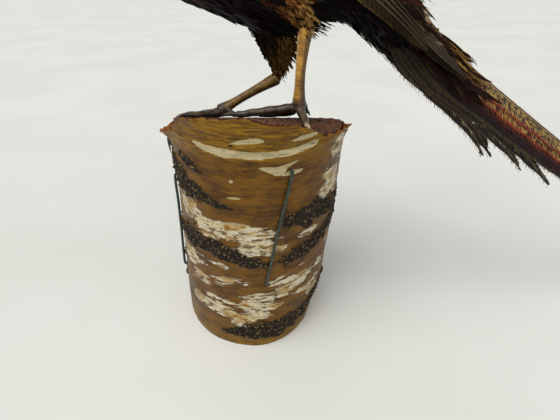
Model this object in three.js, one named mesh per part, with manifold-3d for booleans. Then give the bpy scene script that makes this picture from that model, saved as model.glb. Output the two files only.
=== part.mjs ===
// A cock pheasant mounted for display, standing on an upright length of birch log.
// Millimetres, +Z up. The origin is on the log's flat underside, below the middle of its top.
// The bird faces -Y, its left side is towards +X and its tail runs back along +Y.
import * as THREE from "three";
import { mergeVertices } from "three/addons/utils/BufferGeometryUtils.js";
import Module from "manifold-3d";

const wasm = await Module();
wasm.setup();

const vec = (x, y, z) => new THREE.Vector3(x, y, z);
const degrees = THREE.MathUtils.degToRad;
const UP = vec(0, 0, 1);

// ---------------------------------------------------------------- driving dimensions

const GAP = 0.3;                 // clearance that touching pieces keep
const SLIVER = 0.06;             // detail finer than this is dropped after a cut
const CLAW_SLIVER = 0.25;        // the same for a claw, whose root is cut at a slant
const END_REACH = 0.45;          // how far a swept body's point stands past its last ring, in radii

const LOG_RADIUS = 88.5;         // to the outside of the bark, at the top
const LOG_TAPER = 3.3;           // less at the foot
const LOG_LEAN = vec(3.5, -14.3, 0);  // the foot's centre from the top's
const LOG_HEIGHT = 247.6;        // on the axis
const TOP_SLOPE = 0.35;          // the sawn top rises towards +X
const BARK_THICKNESS = 3.4;
const WIRE_RADIUS = 1.15;
const WIRE_CLEARANCE = 1.3;      // between a wire and the bark behind it

const TAIL_LENGTH = 470;         // longest tail feather, root to tip
const BLADE_THICKNESS = 1.2;     // one tail feather as a solid
const TAIL_RIDGE_RADIUS = 24;    // the folded tail is a steep roof with a rounded ridge
const TAIL_SIDE_ANGLE = degrees(70);
const EYE_RADIUS = 5.6;
const HEAD_TILT = degrees(9);    // the bill points a little down

// ---------------------------------------------------------------- materials

function material(name, colour, roughness, metalness = 0) {
  const made = new THREE.MeshStandardMaterial({ color: colour, roughness, metalness });
  made.name = name;
  return made;
}

const MATERIALS = {
  headPlumage: material("head_plumage", "#143a35", 0.45),
  neckPlumage: material("neck_plumage", "#1a2f4a", 0.45),
  bodyPlumage: material("body_plumage", "#7a3a1c", 0.6),
  rumpPlumage: material("rump_plumage", "#5c5a3a", 0.65),
  thighPlumage: material("thigh_plumage", "#6b4a24", 0.75),
  wingPlumage: material("wing_plumage", "#9a7a50", 0.65),
  tailPlumage: material("tail_plumage", "#8a6f3e", 0.6),
  wattle: material("wattle", "#a8241c", 0.55),
  bill: material("bill_horn", "#c9b98a", 0.4),
  eye: material("eye_glass", "#3a1a08", 0.08),
  legScale: material("leg_scale", "#9a7430", 0.45),
  toeScale: material("toe_scale", "#4a3a2c", 0.5),
  claw: material("claw_horn", "#2a221a", 0.35),
  wood: material("cut_wood", "#8a4a28", 0.9),
  bark: material("birch_bark", "#8a6a30", 0.55),
  wire: material("green_wire", "#24402c", 0.4),
};

// ---------------------------------------------------------------- closed surfaces

// Closes a list of equal rings of points with one point at each end, faces outward.
function closeRings(rings, startPoint, endPoint) {
  const sides = rings[0].length;
  const positions = [startPoint, ...rings.flat(), endPoint].flatMap((p) => [p.x, p.y, p.z]);
  const at = (ring, side) => 1 + ring * sides + (side % sides);
  const last = 1 + rings.length * sides;
  const faces = [];
  for (let side = 0; side < sides; side += 1) {
    faces.push(0, at(0, side + 1), at(0, side));
    faces.push(last, at(rings.length - 1, side), at(rings.length - 1, side + 1));
    for (let ring = 0; ring + 1 < rings.length; ring += 1) {
      faces.push(at(ring, side), at(ring, side + 1), at(ring + 1, side));
      faces.push(at(ring, side + 1), at(ring + 1, side + 1), at(ring + 1, side));
    }
  }
  return outward(positions, faces);
}

// Joins the last ring back to the first, for a tube-shaped wall such as the bark.
function closeLoop(rings) {
  const sides = rings[0].length;
  const positions = rings.flat().flatMap((p) => [p.x, p.y, p.z]);
  const at = (ring, side) => (ring % rings.length) * sides + (side % sides);
  const faces = [];
  for (let ring = 0; ring < rings.length; ring += 1) {
    for (let side = 0; side < sides; side += 1) {
      faces.push(at(ring, side), at(ring, side + 1), at(ring + 1, side));
      faces.push(at(ring, side + 1), at(ring + 1, side + 1), at(ring + 1, side));
    }
  }
  return outward(positions, faces);
}

// Makes the geometry, turning every face round when the enclosed volume is negative.
function outward(positions, faces) {
  const corner = (index) => vec(...positions.slice(index * 3, index * 3 + 3));
  let volume = 0;
  for (let i = 0; i < faces.length; i += 3) {
    const [a, b, c] = [corner(faces[i]), corner(faces[i + 1]), corner(faces[i + 2])];
    volume += a.dot(b.cross(c));
  }
  const geometry = new THREE.BufferGeometry();
  geometry.setAttribute("position", new THREE.Float32BufferAttribute(positions, 3));
  geometry.setIndex(volume < 0 ? [...faces].reverse() : faces);
  return geometry;
}

// Values given at even steps, read anywhere between as a smooth curve of three channels.
function smoothTable(rows) {
  const curve = new THREE.CatmullRomCurve3(rows.map((row) => vec(...row)));
  return (t) => curve.getPoint(THREE.MathUtils.clamp(t, 0, 1));
}

// A body swept along a path. Each station gives its centre, and the radii up, down and
// sideways across the path; grow swells the whole body, to cut a neighbour clear of it.
// A keel above 1 draws the underside in towards a ridge. The upper side is the one nearer
// upward, which is never along the path.
function sweep({ path, radii, rings, sides, sideways = vec(1, 0, 0), upward = UP, keel = 1, grow = 0 }) {
  const centres = new THREE.CatmullRomCurve3(path.map((p) => vec(...p)));
  const radiusAt = smoothTable(radii);
  const frameAt = (t) => {
    const tangent = centres.getTangent(t);
    const side = sideways.clone().addScaledVector(tangent, -sideways.dot(tangent)).normalize();
    const up = side.clone().cross(tangent).normalize();
    if (up.dot(upward) < 0) up.negate();
    return { centre: centres.getPoint(t), tangent, side, up };
  };
  const point = (t, angle, extra = 0) => {
    const { centre, side, up } = frameAt(t);
    const size = radiusAt(t);
    const keeled = Math.sin(angle) < 0 ? keel : 1;
    const level = Math.sign(Math.cos(angle)) * Math.abs(Math.cos(angle)) ** keeled;
    const height = Math.sign(Math.sin(angle)) * Math.abs(Math.sin(angle)) ** keeled;
    const rise = height * ((height > 0 ? size.x : size.y) + grow + extra);
    const reach = level * (size.z + grow + extra);
    return centre.addScaledVector(side, reach).addScaledVector(up, rise);
  };
  const geometry = () => {
    const list = [];
    for (let ring = 0; ring <= rings; ring += 1) {
      const t = ring / rings;
      list.push(Array.from({ length: sides }, (_, side) => point(t, (side / sides) * 2 * Math.PI)));
    }
    const [start, end] = [frameAt(0), frameAt(1)];
    const startTip = start.centre.addScaledVector(start.tangent, -radiusAt(0).z * END_REACH - grow);
    const endTip = end.centre.addScaledVector(end.tangent, radiusAt(1).z * END_REACH + grow);
    return closeRings(list, startTip, endTip);
  };
  return { point, geometry };
}

// ---------------------------------------------------------------- joining and cutting

function toSolid(geometry) {
  const bare = geometry.clone();
  bare.deleteAttribute("normal");
  bare.deleteAttribute("uv");
  const merged = mergeVertices(bare, 1e-3);
  const vertProperties = new Float32Array(merged.attributes.position.array);
  const triVerts = new Uint32Array(merged.index.array);
  return new wasm.Manifold(new wasm.Mesh({ numProp: 3, vertProperties, triVerts }));
}

// Keeps the largest body of a solid that a cut has parted, as one geometry.
function toGeometry(solid, sliver = SLIVER) {
  const bodies = solid.decompose().sort((a, b) => b.volume() - a.volume());
  const mesh = bodies[0].simplify(sliver).getMesh();
  const geometry = new THREE.BufferGeometry();
  geometry.setAttribute("position", new THREE.Float32BufferAttribute(mesh.vertProperties, 3));
  geometry.setIndex(Array.from(mesh.triVerts));
  return geometry;
}

// The shape less each of its neighbours, which are already swollen by the gap.
function cut(geometry, neighbours, sliver = SLIVER) {
  const solid = neighbours.reduce((left, next) => left.subtract(toSolid(next)), toSolid(geometry));
  return toGeometry(solid, sliver);
}

function mirrored(geometry) {
  const copy = geometry.clone();
  copy.scale(-1, 1, 1);
  const order = Array.from(copy.index.array).reverse();
  copy.setIndex(order);
  return copy;
}

const object = new THREE.Group();

function add(name, geometry, finish) {
  const flat = geometry.index ? geometry.toNonIndexed() : geometry;
  flat.computeVertexNormals();
  const mesh = new THREE.Mesh(flat, finish);
  mesh.name = name;
  object.add(mesh);
}

// ---------------------------------------------------------------- log

const LOG_SIDES = 32;
const TOP_RINGS = [1, 0.8, 0.55, 0.3];
const CHIP = { direction: degrees(48), spread: degrees(30), depth: 14 };  // broken edge of the top
const FOOT_WEAR = { direction: degrees(62), spread: degrees(34), depth: 7, height: 80 };
const FLARE = { direction: degrees(-74), spread: degrees(13), reach: 11, depth: 9 };

const bell = (value, centre, spread) => Math.exp(-(((value - centre) / spread) ** 2));

// The log leans and narrows a little towards its foot: centre and radius at a height.
function logSection(height) {
  const drop = 1 - height / LOG_HEIGHT;
  return {
    x: LOG_LEAN.x * drop,
    y: LOG_LEAN.y * drop - 1.5,
    radius: LOG_RADIUS - LOG_TAPER * drop,
  };
}

// A point on the log at a direction round it, a height, and a depth under the bark's outside.
function logPoint(direction, height, depth) {
  const section = logSection(height);
  const waist = 1.2 * Math.sin(2 * direction + 0.6) + 0.8 * Math.sin(3 * direction - height / 45);
  const low = 1 - THREE.MathUtils.smoothstep(height, 0, FOOT_WEAR.height);
  const worn = FOOT_WEAR.depth * bell(direction, FOOT_WEAR.direction, FOOT_WEAR.spread) * low;
  const radius = section.radius + waist - worn - depth;
  return vec(section.x + radius * Math.cos(direction), section.y + radius * Math.sin(direction), height);
}

// Height of the sawn top: a slope with one edge chipped away.
function topHeight(x, y) {
  const chipped = CHIP.depth * bell(Math.atan2(y, x), CHIP.direction, CHIP.spread);
  const outer = THREE.MathUtils.smoothstep(Math.hypot(x, y) / LOG_RADIUS, 0.4, 1);
  return LOG_HEIGHT + TOP_SLOPE * x - chipped * outer;
}

const logDirections = Array.from({ length: LOG_SIDES }, (_, i) => (i / LOG_SIDES) * 2 * Math.PI - Math.PI);
const WALL_RINGS = [0, 0.35, 0.7, 1];       // shares of the bark's height, in wood and bark alike

function edgeHeight(direction) {
  const edge = logPoint(direction, LOG_HEIGHT, 0);
  return topHeight(edge.x, edge.y);
}

function rimHeight(direction) {
  const ragged = 2.2 + 1.3 * Math.sin(5 * direction + 1) + 1.1 * Math.sin(11 * direction);
  const torn = FLARE.depth * bell(direction, FLARE.direction, FLARE.spread);
  return edgeHeight(direction) - ragged - torn;
}

function woodGeometry(grow = 0) {
  const wall = WALL_RINGS.map((share) =>
    logDirections.map((d) => logPoint(d, share * rimHeight(d), BARK_THICKNESS + GAP - grow)));
  const top = TOP_RINGS.map((share) =>
    logDirections.map((d) => {
      const point = logPoint(d, edgeHeight(d), BARK_THICKNESS + GAP - grow);
      const middle = logSection(LOG_HEIGHT);
      point.x = THREE.MathUtils.lerp(middle.x, point.x, share);
      point.y = THREE.MathUtils.lerp(middle.y, point.y, share);
      point.z = topHeight(point.x, point.y) + grow;
      return point;
    }));
  return closeRings([...wall, ...top], vec(0, 0, 0), vec(0, 0, LOG_HEIGHT + grow));
}

function barkGeometry(grow = 0) {
  const flare = (d, share) => FLARE.reach * bell(d, FLARE.direction, FLARE.spread) * share ** 14;
  const ring = (depth, share) => logDirections.map((d) =>
    logPoint(d, share * rimHeight(d) + (share === 1 ? grow : 0), depth - flare(d, share)));
  const inner = WALL_RINGS.map((share) => ring(BARK_THICKNESS, share));
  const outer = [1, 0.94, 0.7, 0.35, 0].map((share) => ring(-grow, share));
  return closeLoop([...inner, ...outer]);
}

// A wire laid against the bark, from one point to another given as direction and height.
function wireGeometry(points) {
  const lift = WIRE_RADIUS + WIRE_CLEARANCE;
  const path = points.map(([direction, height]) => logPoint(degrees(direction), height, -lift));
  const curve = new THREE.CatmullRomCurve3(path);
  const section = new THREE.Shape();
  section.absarc(0, 0, WIRE_RADIUS, 0, 2 * Math.PI);
  return new THREE.ExtrudeGeometry(section, { extrudePath: curve, steps: 7, curveSegments: 3 });
}

add("log_wood", woodGeometry(), MATERIALS.wood);
add("log_bark", barkGeometry(), MATERIALS.bark);
add("wire_front", wireGeometry([[20.8, 228], [17, 186], [13.4, 143], [10.1, 105]]), MATERIALS.wire);
add("wire_side", wireGeometry([[-76, 192], [-76.4, 160], [-75.6, 120], [-73.5, 79]]), MATERIALS.wire);

// ---------------------------------------------------------------- trunk, rump and neck

const TRUNK = {
  path: [[0, -146, 452], [0, -136, 450], [0, -116, 444], [0, -82, 433], [0, -40, 418], [0, 0, 400],
    [0, 44, 380], [0, 80, 362], [0, 113, 338], [0, 148, 310], [0, 178, 290], [0, 202, 274]],
  radii: [[10, 12, 10], [28, 33, 30], [46, 56, 50], [56, 68, 62], [58, 72, 67], [56, 69, 67],
    [46, 65, 55], [31, 27, 44], [24, 23, 36], [20, 22, 28], [14, 16, 25], [6, 7, 20]],
};

const NECK = {
  path: [[0, -92, 440], [0, -106, 478], [0, -119, 512], [0, -127, 542], [0, -131, 568], [0, -132, 584]],
  radii: [[50, 48, 54], [42, 41, 45], [32, 31, 33], [25, 24, 25], [20.5, 20.5, 20.5], [18, 18, 18]],
};

const TAIL_BASE_START = vec(0, 92, 355);    // the rump is parted from the trunk here
const trunkSweep = (grow = 0) => sweep({ ...TRUNK, rings: 21, sides: 16, keel: 1.3, grow });
const neckSweep = (grow = 0) => sweep({ ...NECK, rings: 8, sides: 14, grow });

// Half of a solid, on the side of a slanted plane that the direction points to.
function half(solid, point, direction) {
  const normal = direction.clone().normalize();
  return solid.trimByPlane(normal.toArray(), normal.dot(point));
}

// ---------------------------------------------------------------- tail

const TAIL_PATH = new THREE.CatmullRomCurve3([
  vec(0, 96, 362), vec(0, 133, 341), vec(0, 180, 311), vec(0, 250, 266), vec(0, 340, 209), vec(0, 430, 156),
  vec(0, 512, 110)]);
const TAIL_CURVE_LENGTH = TAIL_PATH.getLength();

// A point of the folded tail: along it, across its roof from the ridge, and in through its layers.
function tailPoint(along, across, depth) {
  const t = THREE.MathUtils.clamp(along / TAIL_CURVE_LENGTH, 0, 1);
  const centre = TAIL_PATH.getPointAt(t);
  const tangent = TAIL_PATH.getTangentAt(t);
  const up = vec(1, 0, 0).cross(tangent).normalize();
  const side = Math.sign(across);
  const angle = Math.min(Math.abs(across) / TAIL_RIDGE_RADIUS, TAIL_SIDE_ANGLE);
  const radius = TAIL_RIDGE_RADIUS - depth;
  const slope = Math.abs(across) - angle * TAIL_RIDGE_RADIUS;
  const reach = radius * Math.sin(angle) + slope * Math.cos(angle);
  const fall = TAIL_RIDGE_RADIUS - radius * Math.cos(angle) + slope * Math.sin(angle);
  centre.x += side * reach;
  return centre.addScaledVector(up, -fall);
}

// Each pair of tail feathers: length, half width, distance from the middle and layer.
const TAIL_PAIRS = [
  { length: TAIL_LENGTH, halfWidth: 18, offset: 8, layer: 0 },
  { length: TAIL_LENGTH * 0.93, halfWidth: 17.4, offset: 19, layer: 2 },
  { length: TAIL_LENGTH * 0.82, halfWidth: 17, offset: 29, layer: 3 },
  { length: TAIL_LENGTH * 0.59, halfWidth: 15.5, offset: 38, layer: 4 },
  { length: TAIL_LENGTH * 0.4, halfWidth: 13.5, offset: 45, layer: 5 },
];
const LAYER_PITCH = BLADE_THICKNESS + 0.85;
const BLADE_START = 16;
const STACK_CLEARANCE = 1.2;

// Share of the full half width along a feather, from its root to its pointed tip.
function bladeWidth(share) {
  const root = 0.45 + 0.55 * THREE.MathUtils.smoothstep(share, 0, 0.3);
  const tip = Math.sqrt(Math.max(0, 1 - share ** 5));
  return root * tip * (1 - 0.25 * share);
}

function tailBlade(pair, side, layer) {
  const steps = 7;
  const gather = (along) => 0.55 + 0.45 * THREE.MathUtils.smoothstep(along, 0, 110);
  const offsetAt = (along) => pair.offset * gather(along);
  const section = [[-1, 0.3], [-0.5, 0], [0, 0], [0.5, 0], [1, 0.3], [0.5, 1], [0, 1], [-0.5, 1]];
  const rings = [];
  for (let step = 0; step <= steps; step += 1) {
    const share = step / steps;
    const along = BLADE_START + share * (pair.length - BLADE_START);
    const halfWidth = pair.halfWidth * Math.max(bladeWidth(share), 0.12);
    rings.push(section.map(([across, depth]) =>
      tailPoint(along, side * (offsetAt(along) + across * halfWidth),
        layer * LAYER_PITCH + depth * BLADE_THICKNESS)));
  }
  const middle = (layer + 0.4) * LAYER_PITCH;
  const startPoint = tailPoint(BLADE_START - 1, side * offsetAt(BLADE_START), middle);
  const endPoint = tailPoint(pair.length + 3, side * pair.offset, middle);
  return closeRings(rings, startPoint, endPoint);
}

// The room that the whole stack of tail feathers takes up inside the rump's coverts.
function tailStack() {
  const rings = [];
  for (let step = 0; step <= 6; step += 1) {
    const along = BLADE_START - 2 + step * 24;
    const reach = 35 + Math.min(step, 4) * 7;
    const section = [];
    for (let i = -6; i <= 6; i += 1) section.push([i / 6, -STACK_CLEARANCE]);
    for (let i = 3; i >= -3; i -= 1) section.push([i / 3, LAYER_PITCH * 6 + STACK_CLEARANCE]);
    rings.push(section.map(([across, depth]) => tailPoint(along, across * reach, depth)));
  }
  const middle = LAYER_PITCH * 3;
  return closeRings(rings, tailPoint(BLADE_START - 3, 0, middle), tailPoint(BLADE_START + 146, 0, middle));
}

TAIL_PAIRS.forEach((pair, index) => {
  add(`tail_feather_left_${index + 1}`, tailBlade(pair, 1, pair.layer + (index === 0 ? 1 : 0)),
    MATERIALS.tailPlumage);
  add(`tail_feather_right_${index + 1}`, tailBlade(pair, -1, pair.layer), MATERIALS.tailPlumage);
});

// ---------------------------------------------------------------- head

const HEAD_CENTRE = vec(0, -139, 594);

// Turns a point of the level head, whose bill points along -Y, into its place on the bird.
function placeHead(geometry) {
  geometry.rotateX(HEAD_TILT);
  geometry.translate(HEAD_CENTRE.x, HEAD_CENTRE.y, HEAD_CENTRE.z);
  return geometry;
}

const HEAD = {
  path: [[0, 23, -3], [0, 14, -1], [0, 2, 0], [0, -10, 0.5], [0, -19, -0.5], [0, -24, -1.5]],
  radii: [[10, 11, 10], [18, 19, 15.5], [22, 22, 18], [20.5, 20, 16.6], [14, 14, 12], [8, 9, 7.5]],
};
const EYE_PLACE = vec(13.6, -7.5, 5.5);     // centre of the left eye on the level head
const WATTLE_REACH = 1.5;                   // how far the bare red skin stands out

function eyeGeometry(grow = 0) {
  const ball = new THREE.SphereGeometry(EYE_RADIUS + grow, 9, 6);
  ball.translate(EYE_PLACE.x, EYE_PLACE.y, EYE_PLACE.z);
  return placeHead(ball);
}

const headGeometry = (grow = 0) => placeHead(sweep({ ...HEAD, rings: 8, sides: 14, grow }).geometry());

// The red skin's outline seen from the side: a rounded patch with a lobe below the eye.
function wattlePrism() {
  const outline = new THREE.Shape();
  outline.moveTo(-22, 1);
  outline.bezierCurveTo(-18, 12, -8, 15.5, 0, 15);
  outline.bezierCurveTo(9, 14, 13, 6, 11.5, -1);
  outline.bezierCurveTo(10, -11, 4, -20, -4, -20);
  outline.bezierCurveTo(-12, -20, -18, -9, -22, 1);
  const prism = new THREE.ExtrudeGeometry(outline, { depth: 24, bevelEnabled: false, curveSegments: 3 });
  prism.rotateX(Math.PI / 2);
  prism.rotateZ(Math.PI / 2);
  prism.translate(2, 0, 0);
  return prism;
}

const BILL_UPPER = {
  path: [[0, -18, 2], [0, -25, 2.2], [0, -34, 1], [0, -43, -2.5], [0, -51, -7.5]],
  radii: [[6, 4, 6], [6.2, 3.6, 5.8], [5.2, 3, 4.6], [3.6, 2.4, 3.2], [1, 1, 1]],
};
const BILL_LOWER = {
  path: [[0, -18, -5], [0, -25, -5.2], [0, -34, -5.6], [0, -42, -7.2], [0, -46, -8.6]],
  radii: [[3.4, 4.2, 5], [4.2, 3.6, 4.7], [4.2, 2.8, 3.7], [3.2, 1.6, 2.4], [1.2, 0.6, 1]],
};
const EAR_TUFT = {
  path: [[9, 12, 17], [9.8, 18, 21], [10.4, 25, 26.5], [10.8, 31, 32.5]],
  radii: [[4, 4, 3.4], [3.6, 3.6, 3], [2.4, 2.4, 2], [0.7, 0.7, 0.7]],
};

function addHead() {
  const upper = (grow = 0) => placeHead(sweep({ ...BILL_UPPER, rings: 6, sides: 8, grow }).geometry());
  const lower = (grow = 0) => placeHead(sweep({ ...BILL_LOWER, rings: 4, sides: 8, grow }).geometry());
  const tuft = (grow = 0) => placeHead(sweep({ ...EAR_TUFT, rings: 4, sides: 6, grow }).geometry());
  const eyes = [eyeGeometry(GAP), mirrored(eyeGeometry(GAP))];
  const neck = neckSweep(GAP).geometry();
  add("head", cut(headGeometry(), [...eyes, neck]), MATERIALS.headPlumage);
  add("neck", cut(neckSweep().geometry(), [trunkSweep(GAP).geometry()]), MATERIALS.neckPlumage);
  add("bill_upper", cut(upper(), [headGeometry(GAP)]), MATERIALS.bill);
  add("bill_lower", cut(lower(), [headGeometry(GAP), upper(GAP)]), MATERIALS.bill);
  const patch = toSolid(placeHead(wattlePrism()));
  const shell = toSolid(headGeometry(WATTLE_REACH)).intersect(patch);
  const neighbours = [headGeometry(GAP), neckSweep(GAP).geometry(), upper(GAP), lower(GAP), eyes[0]];
  const wattle = cut(toGeometry(shell), neighbours);
  const ear = cut(tuft(), [headGeometry(GAP)]);
  const eye = eyeGeometry();
  add("eye_left", eye, MATERIALS.eye);
  add("eye_right", mirrored(eye), MATERIALS.eye);
  add("wattle_left", wattle, MATERIALS.wattle);
  add("wattle_right", mirrored(wattle), MATERIALS.wattle);
  add("ear_tuft_left", ear, MATERIALS.headPlumage);
  add("ear_tuft_right", mirrored(ear), MATERIALS.headPlumage);
}

addHead();

function addTrunk() {
  const backwards = vec(0, 0.86, -0.51);
  const gap = backwards.clone().multiplyScalar(GAP);
  const whole = toSolid(trunkSweep().geometry());
  add("trunk", toGeometry(half(whole, TAIL_BASE_START, backwards.clone().negate())), MATERIALS.bodyPlumage);
  const rump = half(whole, TAIL_BASE_START.clone().add(gap), backwards);
  add("rump", toGeometry(rump.subtract(toSolid(tailStack()))), MATERIALS.rumpPlumage);
}

addTrunk();

// ---------------------------------------------------------------- wings

// A folded wing lies on the flank, between an upper and a lower edge given as angles
// round the trunk (0 is straight out, 90 degrees is the middle of the back).
const WING = {
  start: 0.2,
  end: 0.86,
  split: 0.52,                                  // coverts in front, flight feathers behind
  upper: [[0.2, 30], [0.35, 58], [0.52, 66], [0.7, 66], [0.8, 52], [0.86, 40]],
  lower: [[0.2, 4], [0.3, -22], [0.45, -20], [0.6, 6], [0.75, 24], [0.86, 30]],
  thickness: 7,
  edge: 2.2,                                    // thickness at its edges
  root: 3,                                      // how far it reaches under the trunk's surface
};

const lerpTable = (rows, t) => {
  const next = rows.findIndex(([place]) => place >= t);
  if (next <= 0) return rows[next < 0 ? rows.length - 1 : 0][1];
  const [[a, from], [b, to]] = [rows[next - 1], rows[next]];
  return THREE.MathUtils.lerp(from, to, THREE.MathUtils.smoothstep(t, a, b));
};

function wingPatch(start, end, grow = 0) {
  const surface = trunkSweep();
  const along = 6;
  const across = 4;
  const rings = [];
  for (let i = 0; i <= along; i += 1) {
    const t = THREE.MathUtils.lerp(start, end, i / along);
    const [low, high] = [lerpTable(WING.lower, t) - grow, lerpTable(WING.upper, t) + grow];
    const inner = [];
    const outer = [];
    for (let j = 0; j <= across; j += 1) {
      const v = j / across;
      const angle = degrees(THREE.MathUtils.lerp(low, high, v));
      const bulge = Math.sqrt(Math.max(0, 1 - (2 * v - 1) ** 4));
      const ends = 1 - 0.55 * THREE.MathUtils.smoothstep(t, 0.5, 0.86);
      const shoulder = THREE.MathUtils.smoothstep(t, WING.start - 0.01, WING.start + 0.1);
      const thickness = WING.edge + (WING.thickness - WING.edge) * bulge * ends * (0.35 + 0.65 * shoulder);
      outer.push(surface.point(t, angle, thickness + grow));
      inner.push(surface.point(t, angle, -WING.root));
    }
    rings.push([...outer, ...inner.reverse()]);
  }
  const middle = (ring) => ring.reduce((sum, p) => sum.add(p), vec(0, 0, 0)).divideScalar(ring.length);
  return closeRings(rings, middle(rings[0]), middle(rings[rings.length - 1]));
}

function addWings() {
  const body = [trunkSweep(GAP).geometry(), neckSweep(GAP).geometry()];
  const coverts = cut(wingPatch(WING.start, WING.split), body);
  const flight = cut(wingPatch(WING.split + 0.002, WING.end), body);
  add("wing_coverts_left", coverts, MATERIALS.wingPlumage);
  add("wing_coverts_right", mirrored(coverts), MATERIALS.wingPlumage);
  add("wing_flight_left", flight, MATERIALS.wingPlumage);
  add("wing_flight_right", mirrored(flight), MATERIALS.wingPlumage);
}

addWings();

// ---------------------------------------------------------------- legs and feet

// Each leg's joints, and each toe's middle line from the foot to the root of its claw,
// then the claw's own line to its point.
const LEGS = {
  left: {
    hock: [32, 41, 334.4],
    ankle: [28, 37.5, 268.5],
    thigh: [[32, 41, 333], [32.8, 37.5, 342], [35.5, 30, 354], [40, 12, 374], [38, -8, 398]],
    spur: [[27.4, 39, 289], [23.8, 40.4, 290.2], [20.8, 41.6, 291.6]],
    toes: {
      middle: [[28, 33.5, 267.4], [28.4, 26, 266.6], [28.8, 10, 265], [29.4, -6, 263], [30, -19, 261.6]],
      inner: [[23.4, 32.5, 263.6], [19, 25, 260.2], [13, 12, 256.9], [8, 0, 254.4]],
      outer: [[30.5, 38.4, 267], [39, 40.4, 264], [49, 42, 262.6], [57, 42.4, 261.4]],
      hind: [[25, 40.5, 273], [20, 43.5, 265.6], [15, 45.5, 259.4]],
    },
    claws: {
      middle: [[30, -20, 261.6], [30.4, -28, 261.8], [30.8, -35, 259.6]],
      inner: [[7.6, -1, 254.4], [5.4, -7, 254.2], [3.6, -13, 251.6]],
      outer: [[58, 42.6, 261.4], [66, 44, 262.6], [74, 46.5, 258.6]],
      hind: [[14.6, 45.8, 259], [11.4, 48, 257], [9, 49.6, 253]],
    },
  },
  right: {
    hock: [-32, 16, 278.6],
    ankle: [-30, -43.6, 246],
    thigh: [[-32, 16.5, 278.4], [-32, 18, 290], [-33, 18, 304], [-36, 13, 330], [-38, -4, 366]],
    spur: [[-29.4, -21, 254.8], [-28.4, -18, 251], [-27.6, -15, 248.6]],
    toes: {
      middle: [[-30, -47.5, 244], [-31, -58, 242], [-32.5, -72, 240], [-34, -84, 238.6],
        [-34, -94, 234.6], [-33, -100.5, 227.5]],
      inner: [[-27.5, -46.5, 244.4], [-21, -56, 244.6], [-14.5, -66, 246.2], [-9.5, -74, 247.8]],
      outer: [[-33, -45.4, 243], [-42, -50, 237.8], [-51, -54.5, 233.8], [-58, -58, 231]],
      hind: [[-27, -36.5, 248.4], [-21, -30.5, 245], [-16, -26.5, 245.4]],
    },
    claws: {
      middle: [[-32.6, -102, 225.8], [-30, -107, 213], [-25.5, -106, 197.5]],
      inner: [[-9.1, -74.6, 247.8], [-7.6, -80.5, 248], [-6.6, -85, 245.6]],
      outer: [[-59, -58.4, 230.6], [-64, -61, 230.4], [-68.5, -63, 227.2]],
      hind: [[-15.5, -26, 245.6], [-12, -22.5, 246.8], [-9, -19.8, 245.4]],
    },
  },
};

const THIGH_RADII = [[6, 6, 6], [8, 10, 9], [14, 16, 15], [22, 24, 21], [24, 24, 22]];
const TARSUS_RADII = [[6.6, 6.6, 6], [5, 5.2, 4.4], [4.3, 4.5, 3.9], [4.6, 4.8, 4.3], [7, 6.4, 6.8]];
const TARSUS_BOW = 1.4;
const TOE_RADII = [[5, 4.6, 4.6], [4.2, 4, 3.9], [3.7, 3.6, 3.5], [3.1, 3, 3]];
const HIND_RADII = [[3.4, 3.4, 3.2], [2.9, 2.9, 2.7], [2.4, 2.4, 2.3]];
const SPUR_RADII = [[2.8, 2.8, 2.8], [1.9, 1.9, 1.9], [0.6, 0.6, 0.6]];
const CLAW_RADII = [[2.5, 2.5, 2], [1.9, 1.9, 1.5], [0.5, 0.5, 0.5]];

// The level direction across a toe or claw, for its cross sections to lie on.
const acrossOf = (path) => {
  const run = vec(...path[path.length - 1]).sub(vec(...path[0]));
  return run.cross(UP).normalize();
};

// The hollow of a claw's curve is its underside, so its upper side faces away from it.
const outerSide = (path) => vec(...path[1]).multiplyScalar(2).sub(vec(...path[0])).sub(vec(...path[2]));

const between = (a, b, share) => a.map((value, i) => THREE.MathUtils.lerp(value, b[i], share));

function legParts(name, grow = 0) {
  const leg = LEGS[name];
  const bow = (share) => {
    const [x, y, z] = between(leg.hock, leg.ankle, share);
    return [x, y - TARSUS_BOW * Math.sin(Math.PI * share), z];
  };
  const front = vec(0, -1, 0);
  const back = vec(0, 1, 0);
  const line = [0, 0.25, 0.5, 0.75, 1].map(bow);
  const shank = { path: line, radii: TARSUS_RADII, rings: 8, sides: 9, upward: front };
  const drum = { path: leg.thigh, radii: THIGH_RADII, rings: 8, sides: 12, upward: back };
  const spur = { path: leg.spur, radii: SPUR_RADII, rings: 3, sides: 6 };
  return {
    thigh: sweep({ ...drum, grow }).geometry(),
    tarsus: sweep({ ...shank, grow }).geometry(),
    spur: sweep({ ...spur, grow }).geometry(),
  };
}

function toeParts(name, toe, grow = 0) {
  const leg = LEGS[name];
  const radii = toe === "hind" ? HIND_RADII : TOE_RADII;
  const smaller = toe === "hind" ? 0.8 : 1;
  const clawRadii = CLAW_RADII.map((row) => row.map((value) => value * smaller));
  const sideways = acrossOf(leg.toes[toe]);
  const claw = { path: leg.claws[toe], radii: clawRadii, rings: 3, sides: 6, sideways };
  return {
    toe: sweep({ path: leg.toes[toe], radii, rings: 5, sides: 7, sideways, grow }).geometry(),
    claw: sweep({ ...claw, upward: outerSide(claw.path), grow }).geometry(),
  };
}

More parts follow.
